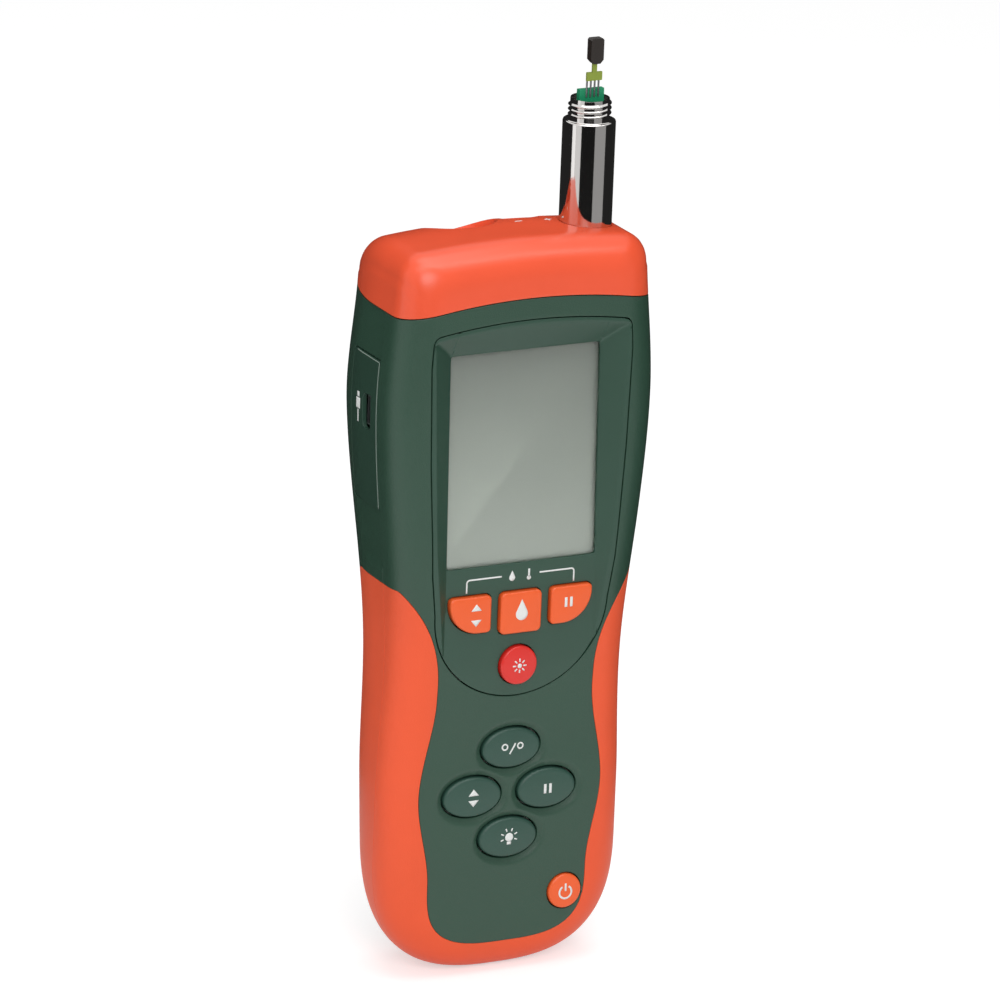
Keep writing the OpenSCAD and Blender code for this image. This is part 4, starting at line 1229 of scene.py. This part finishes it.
def burst(x, z):
    """A point with rays all around."""
    return [circle_shape(x, z, 0.62, steps=24)] + rays(x, z, (1.05, 1.95), range(0, 360, 45))


def unit_sign(x, z):
    """Two small rings with a slanted stroke between them."""
    left, right = [ring(x + shift, z + 0.6, 0.75) for shift in (-2.2, 2.2)]
    return [left, stroke([(x - 0.8, z - 1.4), (x + 0.8, z + 1.4)]), right]


def power_sign(x, z):
    return [stroke(arc(x, z, 1.75, 122, 418), 0.52), box_shape((x - 0.26, z + 0.3), (x + 0.26, z + 2.4))]


def bracket(side):
    """Half of the bracket line over the row of orange keys."""
    corner = [(side * x, z) for x, z in arc(14.5, 108.6, 0.8, 0, 90, 8)]
    return stroke([(side * 15.3, 105.9)] + corner + [(side * 5.4, 109.4)], 0.4)


def polar_signs(y=21.5):
    """A minus and a plus beside the thermocouple socket."""
    minus = stroke([(4.2, y), (6.2, y)])
    plus = [stroke([(12.6, y), (14.6, y)]), stroke([(13.6, y - 1), (13.6, y + 1)])]
    return [minus] + plus


def painted_edge_highlight():
    """A pale line around the port panel's upper front corner: a painted highlight where the panel's edge
    catches the light.
    """
    front = PARTING + 0.42
    high = PANEL_HIGH - 0.3
    line = [(26, high), (front + 0.2, high), (front, PANEL_HIGH - 0.5), (front, PANEL_LOW + 0.4)]
    return stroke(line, 0.24)


def plug_sign(y, z):
    """A small plug with its cord, drawn on the side panel."""
    return [
        box_shape((y - 1.1, z - 0.4), (y + 1.1, z + 2.4)),
        box_shape((y - 0.6, z + 2.7), (y + 0.6, z + 4)),
        stroke([(y, z - 0.7), (y, z - 4)], 0.5)]


# Each view: its right, its up, the way it looks, and a place it looks from
FRONT_VIEW = ((1, 0, 0), (0, 0, 1), (0, 1, 0), (0, -30, 0))
TOP_VIEW = ((1, 0, 0), (0, 1, 0), (0, 0, -1), (0, 0, 240))
SIDE_VIEW = ((0, 1, 0), (0, 0, 1), (1, 0, 0), (-80, 0, 0))


def laid(shapes, surface, view, proud, finest=0.8):
    """Flat shapes, laid onto a surface as it is seen from one side."""
    right, up, look, start = [Vector(v) for v in view]
    bm = bmesh.new()
    for shape in shapes:
        bm.faces.new([bm.verts.new((u, w, 0)) for u, w in shape])
    bmesh.ops.triangulate(bm, faces=list(bm.faces))
    for _ in range(6):
        coarse = [e for e in bm.edges if e.calc_length() > finest]
        bmesh.ops.subdivide_edges(bm, edges=coarse, cuts=1)
        bmesh.ops.triangulate(bm, faces=list(bm.faces))
    for v in bm.verts:
        hit = surface.ray_cast(start + right * v.co.x + up * v.co.y, look)[0]
        v.co = hit - look * proud
    return bm


def ink(name, shapes, surface, view=FRONT_VIEW, slot="ink_white", body="meter", proud=0.04, deep=0.08):
    """A thin printed layer on a surface, or a painted highlight laid the same way."""
    bm = laid(shapes, surface, view, proud)
    made = bmesh.ops.extrude_face_region(bm, geom=list(bm.faces))["geom"]
    moved = [v for v in made if isinstance(v, bmesh.types.BMVert)]
    bmesh.ops.translate(bm, verts=moved, vec=Vector(view[2]) * deep)
    bmesh.ops.recalc_face_normals(bm, faces=bm.faces)
    finished(bm, name, slot, body=body)


def signs(key_surfaces, bezel_surface, cap_surface, panel_surface):
    """Every printed sign, laid onto the surface that carries it, and the painted highlight line on the port
    panel.
    """
    places = cross_places()
    x, z = places["max_button"]
    drawn = {
        "probe_max_button": arrows(-13, ROW_LOW + 8.2, ROW_LOW + 4.4),
        "wet_bulb_button": [drop(0, ROW_LOW + 6, 1.7)],
        "probe_hold_button": bars(13.4, ROW_LOW + 7),
        "laser_button": burst(0, LASER_KEY_Z),
        "power_button": power_sign(POWER_X, POWER_Z - 0.2),
        "unit_button": unit_sign(*places["unit_button"]),
        "max_button": arrows(x, z + 1.3, z - 1.3),
        "hold_button": bars(*places["hold_button"]),
        "backlight_button": bulb(*places["backlight_button"]),
    }
    for node, shapes in drawn.items():
        ink(node + "_sign", shapes, key_surfaces[node], body=node)
    over = [bracket(-1), bracket(1), drop(-2.4, 109.1, 0.85)] + thermometer(2.4, 109.3)
    ink("row_bracket", over, bezel_surface)
    ink("socket_signs", polar_signs(), cap_surface, TOP_VIEW)
    ink("port_sign", plug_sign(SLOT_Y + 4.9, SLOT_Z), panel_surface, SIDE_VIEW)
    # Painted highlight: a pale line along the port panel's edge, standing in for its chamfer catching the
    # light
    ink("panel_painted_edge_highlight", [painted_edge_highlight()], panel_surface, SIDE_VIEW, slot="edge_light")


# Probe


def turned(profile, x, y, steps=128):
    """A turned shape with an upright axis, from points (radius, height)."""
    bm = bmesh.new()
    line = [bm.verts.new((x + r, y, z)) for r, z in profile]
    edges = [bm.edges.new(pair) for pair in zip(line[:-1], line[1:])]
    bmesh.ops.spin(
        bm, geom=line + edges, cent=(x, y, 0), axis=(0, 0, 1), angle=math.tau, steps=steps,
        use_merge=True)
    bmesh.ops.remove_doubles(bm, verts=bm.verts, dist=0.001)
    bmesh.ops.recalc_face_normals(bm, faces=bm.faces)
    return bm


def tube():
    """The chrome tube with its rounded shoulder and its neck."""
    low = SEAM_Z - TUBE_DEEP
    top = SHOULDER_Z + NECK_H
    root = NECK_R - 0.55
    profile = [
        (TUBE_BORE_R, low), (TUBE_R, low), (TUBE_R, SHOULDER_Z - 0.45),
        (TUBE_R - 0.13, SHOULDER_Z - 0.13), (TUBE_R - 0.45, SHOULDER_Z), (root, SHOULDER_Z),
        (root, top - 0.2), (NECK_R - 0.7, top), (TUBE_BORE_R, top), (TUBE_BORE_R, low),
    ]
    bm = turned(profile, PROBE_X, PROBE_Y)
    thread(bm)
    finished(bm, "probe_tube_chrome", "tube_chrome", ["probe_tube"])


def thread(bm, steps=72):
    """Screw thread on the neck, as one ridge that climbs."""
    low = SHOULDER_Z + 0.7
    turns = (NECK_H - 1.6) / THREAD_PITCH
    flank = [(NECK_R - 0.6, 0.5), (NECK_R - 0.06, 0.1)]
    ridge = [(r, low - rise) for r, rise in flank] + [(NECK_R, low)]
    ridge += [(r, low + rise) for r, rise in reversed(flank)]
    line = [bm.verts.new((PROBE_X + r, PROBE_Y, z)) for r, z in ridge]
    edges = [bm.edges.new(pair) for pair in zip(line[:-1], line[1:])]
    bmesh.ops.spin(
        bm, geom=line + edges, cent=(PROBE_X, PROBE_Y, 0), axis=(0, 0, 1),
        dvec=(0, 0, THREAD_PITCH / steps), angle=math.tau * turns, steps=round(steps * turns))


# Studio, in metres


def turned_by(degrees, axis):
    return Matrix.Rotation(math.radians(degrees), 3, axis)


def camera():
    """Looks at the meter as the photograph does."""
    turn = turned_by(CAMERA_TURN, "Z") @ turned_by(90 - CAMERA_DROP, "X") @ turned_by(CAMERA_ROLL, "Z")
    place = Vector(CAMERA_PIVOT) * MM + turn @ Vector(CAMERA_PLACE) * MM
    data = bpy.data.cameras.new("camera")
    data.sensor_width = 36
    data.lens = CAMERA_FOCAL
    data.clip_end = 20
    seen = bpy.data.objects.new("camera", data)
    seen.matrix_world = Matrix.Translation(place) @ turn.to_4x4()
    bpy.context.scene.collection.objects.link(seen)
    bpy.context.scene.camera = seen


def lamp(name, place, size, power, aim=(0, 0, 0.1)):
    """A soft rectangular lamp that is aimed at the meter."""
    data = bpy.data.lights.new(name, "AREA")
    data.shape = "RECTANGLE"
    data.size, data.size_y = size
    data.energy = power
    light = bpy.data.objects.new(name, data)
    way = Vector(aim) - Vector(place)
    light.matrix_world = Matrix.Translation(place) @ way.to_track_quat("-Z", "Y").to_matrix().to_4x4()
    bpy.context.scene.collection.objects.link(light)


def shows_background(tree):
    """One where a ray comes from the camera, a mirror or through glass."""
    ray = tree.nodes.new("ShaderNodeLightPath").outputs
    total = ray["Is Camera Ray"]
    for kind in ("Is Glossy Ray", "Is Transmission Ray"):
        both = tree.nodes.new("ShaderNodeMath")
        both.operation = "ADD"
        both.use_clamp = True
        tree.links.new(total, both.inputs[0])
        tree.links.new(ray[kind], both.inputs[1])
        total = both.outputs[0]
    return total


def world(level=0.42):
    """A white background that lights the meter at a lower level."""
    made = bpy.data.worlds.new("studio")
    bpy.context.scene.world = made
    made.use_nodes = True
    tree = made.node_tree
    back = put(tree.nodes["Background"], Color=(1, 1, 1, 1))
    strength = put(tree.nodes.new("ShaderNodeMapRange"), To_Min=level, To_Max=1)
    tree.links.new(shows_background(tree), strength.inputs["Value"])
    tree.links.new(strength.outputs["Result"], back.inputs["Strength"])


def staged(bm, name, glow):
    """A piece of the studio that isn't part of the meter, with its own material."""
    mesh = bpy.data.meshes.new(name)
    bm.to_mesh(mesh)
    bm.free()
    material = bpy.data.materials.new(name)
    material.use_nodes = True
    put(shader(material), Emission_Color=(glow, glow, glow, 1))
    mesh.materials.append(material)
    piece = bpy.data.objects.new(name, mesh)
    bpy.context.scene.collection.objects.link(piece)
    return piece


def floor(shade=0.75, glow_level=0.5):
    """A pale floor that keeps the meter's shadow and shows white where mirrors see it."""
    bm = bmesh.new()
    bmesh.ops.create_grid(bm, x_segments=1, y_segments=1, size=4)
    piece = staged(bm, "floor", 1)
    tree = piece.data.materials[0].node_tree
    out = shader(piece.data.materials[0])
    put(out, Base_Color=(shade, shade, shade, 1), Roughness=1, Specular_IOR_Level=0)
    glow = tree.nodes.new("ShaderNodeMath")
    glow.operation = "MULTIPLY"
    glow.inputs[1].default_value = glow_level
    tree.links.new(shows_background(tree), glow.inputs[0])
    tree.links.new(glow.outputs[0], out.inputs["Emission Strength"])


def mirror_card(name, start, end, shade, radius=0.5, height=0.6):
    """A curved card that only mirrors see, so that chrome shows its bands."""
    bm = bmesh.new()
    a = math.radians(start)
    line = [bm.verts.new((radius * math.cos(a), radius * math.sin(a), z)) for z in (0.002, height)]
    edge = bm.edges.new(line)
    turn = math.radians(end - start)
    bmesh.ops.spin(bm, geom=line + [edge], cent=(0, 0, 0), axis=(0, 0, 1), angle=turn, steps=32)
    only_mirrored(staged(bm, name, shade), 1)


def only_mirrored(card, glow):
    """A card that lights nothing and that only mirrors see."""
    out = shader(card.data.materials[0])
    put(out, Base_Color=(0, 0, 0, 1), Specular_IOR_Level=0, Emission_Strength=glow)
    card.visible_camera = False
    card.visible_diffuse = False
    card.visible_transmission = False
    card.visible_volume_scatter = False
    card.visible_shadow = False


def strip_light(glow=5, half=0.9, near=-0.62, far=-0.42, high=1.25):
    """A bright strip overhead that only mirrors see, for the shine along rounded edges."""
    bm = bmesh.new()
    corners = [(-half, near, high), (half, near, high), (half, far, high), (-half, far, high)]
    bm.faces.new([bm.verts.new(c) for c in corners])
    only_mirrored(staged(bm, "strip_light", 1), glow)


def studio():
    camera()
    strip_light()
    world()
    floor()
    mirror_card("dark_front", -147, -87, 0.012)
    mirror_card("grey_side", -87, -36, 0.36)
    mirror_card("dark_back", -36, 60, 0.02, radius=0.13, height=0.3)
    mirror_card("dark_left", 60, 170, 0.02, radius=0.13, height=0.3)
    mirror_card("light_side", 186, 213, 0.8)
    lamp("key", (-0.62, -1.5, 1.0), (1.0, 0.8), 15)
    lamp("top", (0, -0.1, 1.7), (1.2, 1.2), 10)
    bpy.context.scene.view_settings.view_transform = "Standard"


def dress_nodes():
    """Gives every solid that stays in view the finish of its slot."""
    slots = {s["node"]: s["material_slot"] for s in frame["record"]["subparts"]}
    for name, node in frame["nodes"].items():
        for place in node.material_slots:
            place.material = MATERIALS[slots[name]]


dress_nodes()
skin = wrapped(body_rings(), SKIN_MERGE)
skin_surface = BVHTree.FromBMesh(skin)
front_shell(skin)
rear_shell(skin)
cap_surface = cap(skin)
grips(skin)
panel_surface = side_panel(skin)
bezel_surface = bezel(skin)
skin.free()
signs(keys(), bezel_surface, cap_surface, panel_surface)
tube()
studio()
